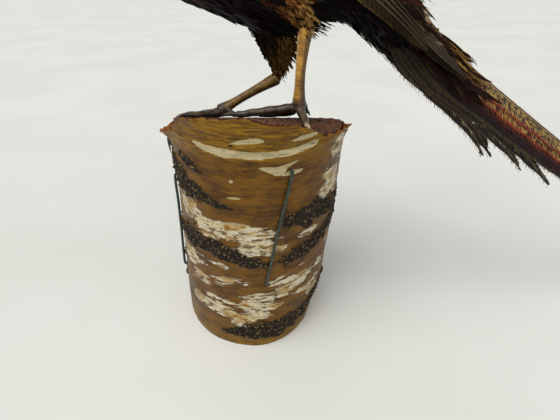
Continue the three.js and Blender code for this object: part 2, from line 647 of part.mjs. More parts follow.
function addLeg(name) {
  const clear = legParts(name, GAP);
  const plain = legParts(name);
  const ground = [woodGeometry(GAP), barkGeometry(GAP)];
  const side = name === "left" ? 1 : -1;
  const wing = [wingPatch(WING.start, WING.split, 2 * GAP), wingPatch(WING.split, WING.end, 2 * GAP)];
  const body = [trunkSweep(GAP).geometry(), ...(side > 0 ? wing : wing.map(mirrored))];
  const shank = toSolid(plain.tarsus).add(toSolid(plain.spur));
  add(`thigh_${name}`, cut(plain.thigh, [...body, clear.tarsus]), MATERIALS.thighPlumage);
  add(`tarsus_${name}`, cut(toGeometry(shank), ground), MATERIALS.legScale);
  const placed = [clear.tarsus, clear.spur];
  for (const toe of ["middle", "inner", "outer", "hind"]) {
    const shape = toeParts(name, toe);
    const swollen = toeParts(name, toe, GAP);
    add(`toe_${toe}_${name}`, cut(shape.toe, [...placed, ...ground]), MATERIALS.toeScale);
    placed.push(swollen.toe);
    add(`claw_${toe}_${name}`, cut(shape.claw, [...placed, ...ground], CLAW_SLIVER), MATERIALS.claw);
    placed.push(swollen.claw);
  }
}

addLeg("left");
addLeg("right");

export default object;
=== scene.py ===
"""A mounted cock pheasant on a birch log, built round a fixed frame as a still, life-size model."""

import functools
import math

import bpy
import numpy as np
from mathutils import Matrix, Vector
from mathutils.bvhtree import BVHTree


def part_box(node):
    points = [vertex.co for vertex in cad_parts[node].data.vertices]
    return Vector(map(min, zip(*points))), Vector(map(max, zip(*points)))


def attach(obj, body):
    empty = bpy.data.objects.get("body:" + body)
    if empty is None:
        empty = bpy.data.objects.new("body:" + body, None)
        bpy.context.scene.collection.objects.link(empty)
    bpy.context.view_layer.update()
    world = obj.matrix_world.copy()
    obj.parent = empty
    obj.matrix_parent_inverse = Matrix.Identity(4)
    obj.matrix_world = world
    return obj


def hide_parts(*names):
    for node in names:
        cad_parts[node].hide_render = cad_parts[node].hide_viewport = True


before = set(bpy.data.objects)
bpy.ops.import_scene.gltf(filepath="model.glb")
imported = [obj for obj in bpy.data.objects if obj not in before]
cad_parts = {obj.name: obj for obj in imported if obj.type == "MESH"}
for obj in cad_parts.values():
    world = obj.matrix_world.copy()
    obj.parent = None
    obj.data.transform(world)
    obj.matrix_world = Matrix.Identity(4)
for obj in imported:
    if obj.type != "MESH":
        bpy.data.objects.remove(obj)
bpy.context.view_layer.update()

bl_info = {
    "name": "Mounted Pheasant",
    "version": (1, 0, 0),
    "blender": (4, 5, 0),
    "location": "View3D > Sidebar > Pheasant",
    "description": "Models a mounted pheasant, its feather coat and its birch log",
    "category": "Object",
}

MM = 0.001              # shapes are worked out in millimetres and stored in metres
SEED = 7


# ---------------------------------------------------------------- numbers and colours

def linear(code, alpha=1.0):
    """An sRGB hex colour as linear red, green, blue and alpha."""
    values = [int(code[i:i + 2], 16) / 255 for i in (1, 3, 5)]
    return tuple(v / 12.92 if v <= 0.04045 else ((v + 0.055) / 1.055) ** 2.4 for v in values) + (alpha,)


def colour_of(colour):
    """A hex code or a setting's colour as linear red, green, blue and alpha."""
    return linear(colour) if isinstance(colour, str) else tuple(colour)


def settings(group):
    """The add-on's settings of one group."""
    return getattr(bpy.context.scene, "pheasant_" + group)


def smooth(low, high, value):
    share = np.clip((value - low) / (high - low), 0, 1)
    return share * share * (3 - 2 * share)


def bell(value, centre, spread):
    return np.exp(-(((value - centre) / spread) ** 2))


def blend(one, other, share):
    share = np.asarray(share, float)[..., None]
    return np.asarray(one) * (1 - share) + np.asarray(other) * share


def unit(vectors):
    return vectors / np.maximum(np.linalg.norm(vectors, axis=-1, keepdims=True), 1e-9)


def value_noise(points, seed=0):
    """Smooth noise from -1 to 1 at each point, with cells one unit across."""
    cell = np.floor(points).astype(np.int64)
    share = points - cell
    share = share * share * (3 - 2 * share)
    total = np.zeros(len(points))
    for corner in range(8):
        step = np.array([corner & 1, corner >> 1 & 1, corner >> 2 & 1])
        x, y, z = (cell + step).T
        mixed = (x * 73856093) ^ (y * 19349663) ^ (z * 83492791) ^ (seed * 2654435761 + 977)
        mixed = (mixed ^ (mixed >> 13)) * 1274126177 & 0xFFFFFFFF
        mixed = (mixed ^ (mixed >> 15)) & 0xFFFFFF
        weight = np.prod(np.where(step == 1, share, 1 - share), axis=1)
        total += weight * (mixed / 0xFFFFFF * 2 - 1)
    return total


def fractal(points, size, octaves=3, seed=0, stretch=(1, 1, 1)):
    """Layered noise whose coarsest cells are size millimetres, stretched along each axis."""
    scaled = np.asarray(points, float) / (size * np.array(stretch, float))
    total, weight = 0, 1.0
    for octave in range(octaves):
        total = total + weight * value_noise(scaled * 2 ** octave, seed + octave)
        weight /= 2
    return total


def curve(points, shares):
    """Points of a smooth curve through evenly counted stations, for shares from 0 to 1."""
    table = np.asarray(points, float)
    table = np.vstack([2 * table[0] - table[1], table, 2 * table[-1] - table[-2]])
    last = len(table) - 3
    place = np.clip(np.asarray(shares, float), 0, 1) * last
    step = np.minimum(place.astype(int), last - 1)
    f = (place - step)[..., None]
    a, b, c, d = (table[step + i] for i in range(4))
    return 0.5 * (2 * b + (c - a) * f + (2 * a - 5 * b + 4 * c - d) * f ** 2 + (3 * b - a - 3 * c + d) * f ** 3)


# ---------------------------------------------------------------- meshes from arrays

def build(name, points, faces, material, attributes=None, smooth_faces=True):
    """A mesh object from points in millimetres and a list of arrays of faces."""
    mesh = bpy.data.meshes.new(name)
    points = np.asarray(points, np.float32).reshape(-1, 3) * MM
    corners = np.concatenate([np.asarray(part).ravel() for part in faces])
    sides = np.concatenate([np.full(len(part), np.asarray(part).shape[1]) for part in faces])
    mesh.vertices.add(len(points))
    mesh.vertices.foreach_set("co", points.ravel())
    mesh.loops.add(len(corners))
    mesh.loops.foreach_set("vertex_index", corners.astype(np.int32))
    mesh.polygons.add(len(sides))
    mesh.polygons.foreach_set("loop_start", (np.cumsum(sides) - sides).astype(np.int32))
    mesh.update(calc_edges=True)
    mesh.polygons.foreach_set("use_smooth", np.full(len(sides), smooth_faces))
    store(mesh, attributes or {})
    made = bpy.data.objects.new(name, mesh)
    bpy.context.scene.collection.objects.link(made)
    mesh.materials.append(material)
    return made


def store(mesh, attributes):
    """Writes arrays of one, three or four numbers for each vertex as attributes."""
    kinds = {1: ("FLOAT", "value"), 3: ("FLOAT_VECTOR", "vector"), 4: ("FLOAT_COLOR", "color")}
    for key, values in attributes.items():
        values = np.asarray(values, np.float32)
        kind, field = kinds[1 if values.ndim == 1 else values.shape[1]]
        mesh.attributes.new(key, kind, "POINT").data.foreach_set(field, values.ravel())


def grid_faces(rows, columns, closed=True, start=0):
    """Quads of a grid of rows and columns, wrapped round its columns when closed."""
    count = columns if closed else columns - 1
    r, c = np.meshgrid(np.arange(rows - 1), np.arange(count), indexing="ij")
    a, b = r * columns + c, r * columns + (c + 1) % columns
    return np.stack([a, b, b + columns, a + columns], -1).reshape(-1, 4) + start


def capped(grid, start_point, end_point):
    """Points and faces of a tube of rings, closed by one point at each end."""
    rows, columns, _ = grid.shape
    points = np.vstack([grid.reshape(-1, 3), start_point, end_point])
    first, last = rows * columns, rows * columns + 1
    c = np.arange(columns)
    following = (c + 1) % columns
    start = np.stack([np.full(columns, first), following, c], -1)
    end = np.stack([np.full(columns, last), c + (rows - 1) * columns, following + (rows - 1) * columns], -1)
    return points, [grid_faces(rows, columns), np.vstack([start, end])]


def outward(points, faces):
    """Turns every face round when the closed surface is inside out."""
    volume = 0
    for part in faces:
        for i in range(1, part.shape[1] - 1):
            a, b, c = points[part[:, 0]], points[part[:, i]], points[part[:, i + 1]]
            volume += np.einsum("ij,ij->", a, np.cross(b, c))
    return [part[:, ::-1] for part in faces] if volume < 0 else faces


END_DOME = 0.62                  # how far a limb's rounded end stands out, as a share of its radius


def limb(path, radii, along, around, sideways, upward, relief=None):
    """A closed tube along a path. Returns its points, faces, and each point's share and angle."""
    t = np.linspace(0, 1, along + 1)
    centre, size = curve(path, t), curve(radii, t)
    tangent = unit(curve(path, np.minimum(t + 0.01, 1)) - curve(path, np.maximum(t - 0.01, 0)))
    sideways = np.asarray(sideways, float)
    side = unit(sideways - tangent * (tangent @ sideways)[:, None])
    up = np.cross(side, tangent)
    up *= np.sign(up @ np.asarray(upward, float))[:, None]
    angle = np.linspace(0, 2 * math.pi, around, endpoint=False)
    tt, aa = np.meshgrid(t, angle, indexing="ij")
    reach = np.cos(aa) * size[:, 2:3]
    rise = np.sin(aa) * np.where(np.sin(aa) > 0, size[:, 0:1], size[:, 1:2])
    out = side[:, None] * np.cos(aa)[..., None] + up[:, None] * np.sin(aa)[..., None]
    grid = centre[:, None] + side[:, None] * reach[..., None] + up[:, None] * rise[..., None]
    if relief is not None:
        grid = grid + out * relief(tt, aa)[..., None]
    dome = np.sin(np.radians([20, 40, 60, 78]))
    reach, inset = dome[:, None, None], np.sqrt(1 - dome ** 2)[:, None, None]
    first = centre[0] + (grid[0] - centre[0]) * inset - tangent[0] * size[0, 2] * END_DOME * reach
    final = centre[-1] + (grid[-1] - centre[-1]) * inset + tangent[-1] * size[-1, 2] * END_DOME * reach
    grid = np.concatenate([first[::-1], grid, final])
    start = centre[0] - tangent[0] * size[0, 2] * END_DOME
    end = centre[-1] + tangent[-1] * size[-1, 2] * END_DOME
    points, faces = capped(grid, start, end)
    shares = np.concatenate([np.zeros(4 * around), tt.ravel(), np.ones(4 * around), [0, 1]])
    angles = np.concatenate([np.tile(angle, 4), aa.ravel(), np.tile(angle, 4), [math.pi / 2, math.pi / 2]])
    return points, outward(points, faces), shares, angles


def gather(parts):
    """Several pieces' points, faces and attributes as one, faces grouped by their sides."""
    points, faces, extra, start = [], {}, {}, 0
    for part_points, part_faces, attributes in parts:
        for part in part_faces:
            faces.setdefault(part.shape[1], []).append(part + start)
        for key, values in attributes.items():
            extra.setdefault(key, []).append(values)
        points.append(part_points)
        start += len(part_points)
    joined = [np.vstack(group) for group in faces.values()]
    return np.vstack(points), joined, {key: np.concatenate(values) for key, values in extra.items()}


def deselect():
    bpy.ops.object.select_all(action="DESELECT")


def apply_modifier(piece, kind, **settings):
    """Adds a modifier to a piece, sets it and applies it."""
    deselect()
    piece.select_set(True)
    bpy.context.view_layer.objects.active = piece
    modifier = piece.modifiers.new(kind.title(), kind)
    for key, value in settings.items():
        setattr(modifier, key, value)
    bpy.ops.object.modifier_apply(modifier=modifier.name)


def flesh_copy(name, nodes):
    """One merged copy of some CAD nodes."""
    deselect()
    for node in nodes:
        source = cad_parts[node]
        copy = source.copy()
        copy.data = source.data.copy()
        copy.parent = None
        for key in list(copy.keys()):
            del copy[key]
        bpy.context.scene.collection.objects.link(copy)
        copy.data.materials.clear()
        copy.select_set(True)
        bpy.context.view_layer.objects.active = copy
        made = copy
    if len(nodes) > 1:
        bpy.ops.object.join()
        made = bpy.context.view_layer.objects.active
    made.name = name
    made.data.name = name
    bpy.ops.object.mode_set(mode="EDIT")
    bpy.ops.mesh.select_all(action="SELECT")
    bpy.ops.mesh.remove_doubles(threshold=1e-6)
    bpy.ops.object.mode_set(mode="OBJECT")
    return made


def positions(mesh):
    values = np.zeros(len(mesh.vertices) * 3, np.float32)
    mesh.vertices.foreach_get("co", values)
    return values.reshape(-1, 3).astype(float) / MM


def reshape(piece, points):
    piece.data.vertices.foreach_set("co", (points * MM).astype(np.float32).ravel())
    piece.data.update()


def finish(piece, slot, *nodes):
    """Rides a piece on the model's body and hides the CAD nodes that it stands for; its slot is not used."""
    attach(piece, "root")
    if nodes:
        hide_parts(*nodes)
    return piece


# ---------------------------------------------------------------- material nodes

# The kinds of node used: type, settings, the inputs that values go to in order, and the output read.
NODES = {
    "shader": ("ShaderNodeBsdfPrincipled", {}, (), 0),
    "surface": ("ShaderNodeOutputMaterial", {}, ("Surface",), None),
    "place": ("ShaderNodeTexCoord", {}, (), "Object"),
    "tint": ("ShaderNodeAttribute", {}, (), "Color"),
    "value": ("ShaderNodeAttribute", {}, (), "Fac"),
    "triple": ("ShaderNodeAttribute", {}, (), "Vector"),
    "split": ("ShaderNodeSeparateXYZ", {}, (0,), None),
    "join": ("ShaderNodeCombineXYZ", {}, (0, 1, 2), 0),
    "scaled": ("ShaderNodeMapping", {}, ("Vector", "Scale"), 0),
    "noise": ("ShaderNodeTexNoise", {}, ("Vector", "Scale", "Detail", "Roughness"), 0),
    "mix": ("ShaderNodeMix", {"data_type": "RGBA"}, (0, 6, 7), 2),
    "range": ("ShaderNodeMapRange", {"interpolation_type": "SMOOTHSTEP"}, (0, 1, 2, 3, 4), 0),
    "shift": ("ShaderNodeHueSaturation", {}, ("Color", "Value", "Saturation"), 0),
    "bump": ("ShaderNodeBump", {}, ("Height", "Distance", "Strength"), 0),
}


def set_input(node, socket, value):
    """Links an output to a node's input, or sets the input to a constant."""
    if isinstance(value, bpy.types.NodeSocket):
        node.id_data.links.new(value, node.inputs[socket])
    else:
        node.inputs[socket].default_value = value


def add_node(tree, kind, *values, **settings):
    """Adds a node with its settings and links, and returns what it gives. Other kinds are sums by name."""
    title, fixed, sockets, result = NODES.get(kind) or ("ShaderNodeMath", {"operation": kind}, (0, 1, 2), 0)
    made = tree.nodes.new(title)
    for key, value in {**fixed, **settings}.items():
        setattr(made, key, value)
    for socket, value in zip(sockets, values):
        set_input(made, socket, value)
    return made.outputs if result is None else made.outputs[result]


def per(millimetres, x=1, y=1, z=1):
    """The scale that gives features about a size across in metres, stretched along each axis."""
    return tuple(1 / (millimetres * MM * stretch) for stretch in (x, y, z))


def new_material(name):
    """A material, a function that adds nodes to it, its Principled shader and its Object coordinates."""
    made = bpy.data.materials.new(name)
    made.use_nodes = True
    tree = made.node_tree
    tree.nodes.clear()
    add = functools.partial(add_node, tree)
    shader = add("shader").node
    add("surface", shader.outputs[0])
    return made, add, shader, add("place")


# ---------------------------------------------------------------- the log

LOG_HEIGHT = 247.6
LOG_RADIUS = 88.5
BARK_THICKNESS = 3.4
BARK_AROUND, BARK_UP = 420, 190   # points round the bark and up it
FLARE_POWER = 40                  # how suddenly the bark flares out at its rim
TORN_AT = math.radians(-74)       # where the rim is torn and flares the most
POINT_AT = math.radians(82)       # where the rim stands out in a point


def log_section(height):
    drop = 1 - height / LOG_HEIGHT
    return 3.5 * drop, -14.3 * drop - 1.5, LOG_RADIUS - 3.3 * drop


def log_point(direction, height, depth=0.0):
    """Points on the log at directions round it, heights, and depths under the bark's outside."""
    x, y, radius = log_section(height)
    waist = 1.2 * np.sin(2 * direction + 0.6) + 0.8 * np.sin(3 * direction - height / 45)
    worn = 7 * bell(direction, math.radians(62), math.radians(34)) * (1 - smooth(0, 80, height))
    radius = radius + waist - worn - depth
    return np.stack([x + radius * np.cos(direction), y + radius * np.sin(direction), height + 0 * radius],
                    -1)


def top_height(x, y):
    chipped = 14 * bell(np.arctan2(y, x), math.radians(48), math.radians(30))
    return LOG_HEIGHT + 0.35 * x - chipped * smooth(0.4, 1, np.hypot(x, y) / LOG_RADIUS)


def edge_height(direction):
    edge = log_point(direction, np.full_like(direction, LOG_HEIGHT))
    return top_height(edge[..., 0], edge[..., 1])


def rim_height(direction):
    ragged = 2.2 + 1.3 * np.sin(5 * direction + 1) + 1.1 * np.sin(11 * direction)
    torn = 9 * bell(direction, TORN_AT, math.radians(13))
    return edge_height(direction) - ragged - torn


# Rough corky bands: each a line of direction in degrees, height and half width in millimetres.
CORK_BANDS = [
    [(-54, 234, 1.5), (-46, 230, 4), (-36, 226, 3), (-32, 224, 1)],
    [(-98, 236, 5), (-86, 222, 8), (-74, 211, 10), (-60, 208, 10.5), (-48, 205, 9.5),
     (-35, 201, 7), (-22, 197, 4), (-12, 195, 1)],
    [(18, 178, 2), (23, 180, 8), (40, 180, 10.5), (58, 175, 9), (78, 168, 6), (104, 172, 5), (118, 170, 1)],
    [(-72, 142, 4), (-62, 144, 9), (-42, 146, 10), (-25, 145, 8.5), (-12, 138, 6.5), (6, 130, 4),
     (11, 129, 1)],
    [(16, 129, 1), (24, 131, 6), (38, 136, 8), (60, 146, 7.5), (80, 154, 6), (96, 160, 3)],
    [(-24, 20, 1), (-12, 23, 6), (4, 27, 9.5), (27, 28, 11), (47, 33, 10.5), (61, 54, 8), (70, 66, 4)],
    [(128, 214, 2), (150, 210, 7), (176, 215, 6), (200, 212, 1)],
    [(122, 116, 1), (150, 110, 6), (186, 118, 7), (218, 110, 5), (232, 112, 1)],
    [(188, 176, 2), (214, 170, 6), (246, 176, 5), (262, 172, 1)],
    [(130, 44, 2), (160, 50, 6), (200, 42, 7), (250, 34, 4), (268, 30, 1)],
    [(-84, 96, 1), (-80, 92, 3), (-76, 88, 1)],
    [(-82, 68, 1), (-76, 64, 3.4), (-72, 60, 1)],
]
# Pale inner bark laid bare, in the same terms: long torn strips with sharp edges.
BARE_STRIPS = [
    [(-37, 252, 0.9), (-32, 250.5, 2.4), (-15, 247.5, 3.4), (3, 247, 3.3), (20, 249, 2.7),
     (34, 253, 1.9), (37, 254, 0.6)],
    [(-13, 256, 0.6), (-8, 258, 1.8), (0, 260, 2.6), (5, 259.5, 0.8)],
    [(20, 258, 0.5), (26, 260, 2.6), (34, 262, 2.4), (38, 262, 0.6)],
    [(3, 236, 0.6), (9, 234, 3), (14, 232, 4.4), (18, 236, 2.2), (24, 240, 0.8)],
    [(16, 228, 0.8), (21, 229.5, 2.6), (26, 230, 1.6), (28, 231, 0.5)],
    [(-13, 222, 1.6), (-12, 222, 1.6)],
    [(-16, 205, 0.6), (-11, 206, 1.3), (-7, 205.5, 0.6)],
]
# Where the papery outer layer has flaked away: direction, height, spreads and strength.
FLAKED = [
    (-46, 176, 16, 13, 0.9), (-22, 166, 26, 12, 0.75), (4, 152, 16, 14, 0.85), (-2, 168, 22, 8, 0.5),
    (-50, 112, 16, 14, 0.7), (-30, 124, 18, 7, 0.5), (-28, 56, 24, 16, 0.8), (-2, 42, 14, 20, 0.85),
    (4, 68, 15, 20, 1.0), (16, 84, 10, 8, 0.6), (30, 88, 18, 20, 0.75), (-44, 88, 16, 13, 0.62),
    (-20, 100, 18, 9, 0.55), (-46, 62, 15, 13, 0.6), (50, 70, 16, 34, 0.6), (36, 112, 12, 8, 0.4),
    (56, 205, 14, 26, 0.85), (68, 236, 16, 10, 0.7), (70, 130, 10, 10, 0.5), (44, 156, 16, 6, 0.5),
    (-64, 190, 8, 8, 0.5), (110, 200, 24, 20, 0.7), (150, 160, 30, 22, 0.8), (190, 80, 30, 20, 0.8),
    (230, 140, 26, 18, 0.7), (250, 220, 22, 14, 0.7), (130, 80, 20, 18, 0.7), (215, 200, 20, 10, 0.5),
]


def band_field(bands, direction, height, swell=1.0):
    """How far each point lies inside the nearest band, from 1 on its middle line to 0 at its edge."""
    best = np.full(direction.shape, -9.0)
    for band in bands:
        rows = np.array(band, float)
        for (a0, h0, w0), (a1, h1, w1) in zip(rows[:-1], rows[1:]):
            across = np.radians((np.degrees(direction) - a0 + 180) % 360 - 180) * LOG_RADIUS
            up = height - h0
            run, rise = math.radians(a1 - a0) * LOG_RADIUS, h1 - h0
            share = np.clip((across * run + up * rise) / max(run * run + rise * rise, 1e-6), 0, 1)
            away = np.hypot(across - share * run, up - share * rise)
            best = np.maximum(best, 1 - away / ((w0 + (w1 - w0) * share) * swell))
    return best


def bark_fields(direction, height, points):
    """Cork, bare, flaked and golden fields of the bark; each pattern lies where its field is above 0."""
    ragged = fractal(points, 9, 3, seed=3, stretch=(1, 1, 0.7))
    cork = band_field(CORK_BANDS, direction, height, settings("bark").cork_swell) + 0.5 * ragged
    bare = band_field(BARE_STRIPS, direction, height) + 0.16 * fractal(points, 7, 2, seed=5,
            stretch=(1, 1, 0.5))
    flaked = np.zeros_like(direction)
    for a, h, wide, tall, strength in FLAKED:
        across = (np.degrees(direction) - a + 180) % 360 - 180
        flaked = np.maximum(flaked, strength * np.exp(-(across / wide) ** 2 - ((height - h) / tall) ** 2))
    torn = fractal(points, 24, 4, seed=9, stretch=(1, 1, 0.34))
    flaked = flaked - 0.4 + 0.62 * torn * smooth(0.02, 0.3, flaked)
    golden = smooth(236, 250, height) - 0.15 + 0.3 * fractal(points, 20, 3, seed=13, stretch=(1, 1, 0.2))
    golden = np.maximum(golden, 0.6 * (1 - smooth(8, 30, height)) + 0.3 * ragged * (height < 40))
    return cork, bare, flaked, golden


BARK_FIELDS = ("cork", "bare", "flaked", "golden", "torn")


def birch_bark_material():
    """Birch bark, dried and split: brown papery skin with cream layers, corky bands and fine lenticels; the
    corky bands have painted highlights on their grains and painted shade in their gaps.
    """
    made, add, shader, place = new_material("birch_bark_dried")
    fields = {key: add("value", attribute_name=key) for key in BARK_FIELDS}
    coarse = add("noise", add("scaled", place, per(26, 1, 1, 0.5)), 1.0, 4, 0.5)
    streak = add("noise", add("scaled", place, per(11, 1.7, 1.7, 0.15)), 1.0, 6, 0.7)
    fine = add("noise", add("scaled", place, per(3.2, 1.3, 1.3, 0.5)), 1.0, 4, 0.6)
    grit = add("noise", add("scaled", place, per(2.6)), 1.0, 4, 0.7)
    brown = add("mix", add("range", coarse, 0.38, 0.62), settings("bark").brown_low,
                settings("bark").brown_high)
    brown = add("mix", add("range", streak, 0.5, 0.7, 0, 0.6), brown, linear("#8c662b"))
    brown = add("mix", add("range", streak, 0.44, 0.3, 0, 0.85), brown, linear("#2c1a07"))
    gold = add("mix", add("range", streak, 0.36, 0.64), linear("#56380d"), settings("bark").gold)
    gold = add("mix", add("range", fine, 0.58, 0.76, 0, 0.55), gold, linear("#b39250"))
    gold = add("mix", add("range", add("noise", add("scaled", place, per(9, 2.2, 2.2, 0.14)), 1.0, 5,
                                       0.6), 0.56, 0.7, 0, 0.8), gold, linear("#3f270c"))
    body = add("mix", add("range", fields["golden"], 0.0, 0.5), brown, gold)
    loose = add("ADD", fields["flaked"], add("range", streak, 0.3, 0.7, -0.15, 0.15))
    loose = add("ADD", loose, add("range", fine, 0.3, 0.7, -0.05, 0.05))
    worn = add("mix", add("range", fine, 0.3, 0.58), linear("#a98c52"), settings("bark").flaked)
    worn = add("mix", add("range", streak, 0.46, 0.58, 0, 0.92), worn, settings("bark").cream)
    body = add("mix", add("range", loose, -0.08, -0.01, 0, 0.7), body, linear("#4a2e0c"))
    body = add("mix", add("range", loose, -0.015, 0.04), body, worn)
    left = add("noise", add("scaled", place, per(9, 1.4, 1.4, 0.45)), 1.0, 5, 0.62)
    left = add("MULTIPLY", add("range", left, 0.5, 0.56), add("range", loose, 0.0, 0.1))
    body = add("mix", add("MULTIPLY", left, 0.85), body, brown)
    tan = add("range", coarse, 0.5, 0.62, 0, 0.6)
    body = add("mix", add("MULTIPLY", tan, add("range", loose, 0.02, 0.2)), body, linear("#a87c3a"))
    strip = add("ADD", fields["bare"], add("range", fine, 0.3, 0.7, -0.06, 0.06))
    inner = add("mix", add("range", streak, 0.3, 0.7), linear("#b3a480"), settings("bark").inner)
    body = add("mix", add("range", strip, -0.14, -0.02, 0, 0.7), body, linear("#a8822e"))
    body = add("mix", add("range", strip, -0.01, 0.04), body, inner)
    dashes = add("noise", add("scaled", place, per(7, 1.5, 1.5, 0.1)), 1.0, 2, 0.5)
    gaps = add("noise", add("scaled", place, per(12, 1, 1, 0.8)), 1.0, 2, 0.5)
    dash = add("MULTIPLY", add("range", dashes, 0.63, 0.68), add("range", gaps, 0.48, 0.6))
    body = add("mix", add("MULTIPLY", dash, 0.85), body, linear("#3a220c"))
    # Cork: pale flecks are painted highlights; the near-black between grains is dark cork with painted shade in
    # the gaps.
    plate = add("mix", add("range", grit, 0.44, 0.6), settings("bark").cork, linear("#3a2b18"))
    plate = add("mix", add("range", grit, 0.59, 0.66, 0, 0.95), plate, linear("#b8a074"))
    rough = add("ADD", fields["cork"], add("range", fine, 0.3, 0.7, -0.12, 0.12))
    body = add("mix", add("range", rough, -0.22, -0.02, 0, 0.6), body, linear("#4a3114"))
    body = add("mix", add("range", rough, -0.02, 0.06), body, plate)
    red = add("mix", add("range", grit, 0.4, 0.62), linear("#5c2a12"), linear("#b8743c"))
    body = add("mix", add("range", fields["torn"], 0.35, 0.75), body, red)
    body = add("shift", body, 0.86, 1.14)
    set_input(shader, "Specular IOR Level", 0.25)
    set_input(shader, "Base Color", body)
    set_input(shader, "Roughness", add("range", rough, -0.1, 0.1, 0.42, 0.72))
    relief = add("ADD", add("MULTIPLY", fine, 0.5), add("MULTIPLY", streak, 0.6))
    relief = add("SUBTRACT", relief, add("MULTIPLY", dash, 0.8))
    relief = add("SUBTRACT", relief, add("range", loose, -0.03, 0.03, 0, 0.35))
    set_input(shader, "Normal", add("bump", relief, 1.0 * MM, 0.8))
    return made


def cut_wood_material():
    """Old broken birch wood and inner bark: reddish-brown granules with pale fibres, quite matt."""
    made, add, shader, place = new_material("birch_wood_weathered")
    grain = add("noise", add("scaled", place, per(2.6)), 1.0, 4, 0.7)
    coarse = add("noise", add("scaled", place, per(16)), 1.0, 3, 0.5)
    fibre = add("noise", add("scaled", place, per(4.0, 2.6, 0.6, 1)), 1.0, 3, 0.6)
    body = add("mix", add("range", grain, 0.38, 0.62), linear("#3a2010"), linear("#85502c"))
    body = add("mix", add("range", grain, 0.6, 0.72), body, linear("#b98a52"))
    body = add("mix", add("range", coarse, 0.5, 0.66, 0, 0.7), body, linear("#2c160c"))
    body = add("mix", add("range", fibre, 0.62, 0.7, 0, 0.8), body, linear("#b9864a"))
    set_input(shader, "Base Color", body)
    set_input(shader, "Roughness", 0.85)
    set_input(shader, "Normal", add("bump", grain, 2.0 * MM, 1.0))
    return made


def build_bark():
    direction = np.linspace(-math.pi, math.pi, BARK_AROUND, endpoint=False)
    rim = rim_height(direction)
    jag = 1.5 * fractal(np.stack([30 * np.cos(direction), 30 * np.sin(direction), 0 * direction], -1),
                        2.2, 4, seed=21)
    flare = 11 * bell(direction, TORN_AT, math.radians(13))
    flare = flare + 7 * bell(direction, POINT_AT, math.radians(3.4))
    jag = jag + 1.5 * bell(direction, POINT_AT, math.radians(3)) - 1.4 * np.abs(np.sin(direction * 37)) * (
        bell(direction, TORN_AT, math.radians(16)))
    rows = []
    shares = 1 - (1 - np.linspace(0, 1, BARK_UP)) ** 1.06
    for share in shares:
        rows.append((share * (rim + jag), -flare * share ** FLARE_POWER))
    outer = len(rows)
    for depth, fall in ((1.2, -0.5), (2.6, 0.4), (BARK_THICKNESS, 2.5), (BARK_THICKNESS, 10),
                        (BARK_THICKNESS, 40),
                        (BARK_THICKNESS, 120), (BARK_THICKNESS, None)):
        height = 0 * rim if fall is None else rim + jag - fall
        rows.append((height, depth - flare * np.clip(height / rim, 0, 1) ** FLARE_POWER))
    height = np.array([row[0] for row in rows])
    depth = np.array([row[1] for row in rows])
    wide = np.broadcast_to(direction, height.shape)
    flat = log_point(wide, height, depth)
    place = flat.reshape(-1, 3)
    around, up = wide.ravel(), height.ravel()
    cork, bare, flaked, golden = bark_fields(around, up, place)
    fine = fractal(place, 3.4, 3, seed=31)
    edge = smooth(-0.05, 0.12, cork)
    relief = edge * (1.5 + 1.5 * fine + 0.7 * fractal(place, 1.9, 2, seed=33))
    relief += 0.45 * fractal(place, 14, 3, seed=37, stretch=(1.6, 1.6, 0.3))
    relief += 0.9 * fractal(place, 50, 2, seed=41)
    relief -= 0.9 * smooth(-0.05, 0.08, bare) + 0.45 * smooth(-0.03, 0.05, flaked)
    knot = np.hypot(np.radians(np.degrees(around) + 12.5) * LOG_RADIUS, (up - 260) * 1.4 + 9)
    relief -= 2.4 * np.exp(-(knot / 3.4) ** 2)
    relief += 1.1 * smooth(0.1, 0.5, np.sin(up / 2.6 + 2.2 * fractal(place, 30, 2,
            seed=43))) * smooth(232, 244, up)
    relief = relief.reshape(height.shape)
    relief[outer:] *= 0.25
    relief[outer + 2:] = 0
    points = log_point(wide, height, depth - relief)
    points[..., 2] = height
    count = len(rows)
    faces = grid_faces(count, BARK_AROUND)
    last = (count - 1) * BARK_AROUND
    column = np.arange(BARK_AROUND)
    following = (column + 1) % BARK_AROUND
    closing = np.stack([column + last, following + last, following, column], -1)
    rise = np.minimum(height, rim + jag)
    torn = smooth(-7, -1.5, (rise - rim - jag)) * (0.25 + bell(wide, TORN_AT, math.radians(17)))
    torn[outer:] = 0.75
    torn = torn + 0.3 * fine.reshape(height.shape)
    dark = {"cork": cork, "bare": np.where(up > 262, -1, bare), "flaked": flaked, "golden": golden,
            "torn": torn.ravel()}
    dark["bare"] = np.where(knot < 2.6, -1, dark["bare"])
    dark["cork"] = np.where(knot < 2.4, 0.5, dark["cork"])
    points = points.reshape(-1, 3)
    made = build("birch_bark", points, outward(points, [faces, closing]), birch_bark_material(), dark)
    return finish(made, "birch_bark", "log_bark")


def build_wood():
    """The broken top and the wood under the bark, its top a rough granular slope."""
    around, rings = 300, 60
    direction = np.linspace(-math.pi, math.pi, around, endpoint=False)
    depth = BARK_THICKNESS + 0.3
    wall = [log_point(direction, share * rim_height(direction), depth) for share in (0, 0.35, 0.7, 1)]
    edge = log_point(direction, edge_height(direction), depth)
    x, y, _ = log_section(LOG_HEIGHT)
    tops = []
    for share in np.linspace(1, 0.02, rings):
        ring = edge.copy()
        ring[:, 0] = x + (edge[:, 0] - x) * share
        ring[:, 1] = y + (edge[:, 1] - y) * share
        ring[:, 2] = top_height(ring[:, 0], ring[:, 1])
        rough = 1.3 * fractal(ring, 5, 4, seed=51) + 0.8 * fractal(ring, 18, 2, seed=53) - 0.7
        ring[:, 2] += rough * (1 - 0.3 * share)
        tops.append(ring)
    grid = np.array(wall + tops)
    points, faces = capped(grid, np.array([0, 0, 0.0]), np.array([x, y, float(tops[-1][:, 2].mean())]))
    made = build("birch_wood", points, outward(points, faces), cut_wood_material())
    return finish(made, "cut_wood", "log_wood")


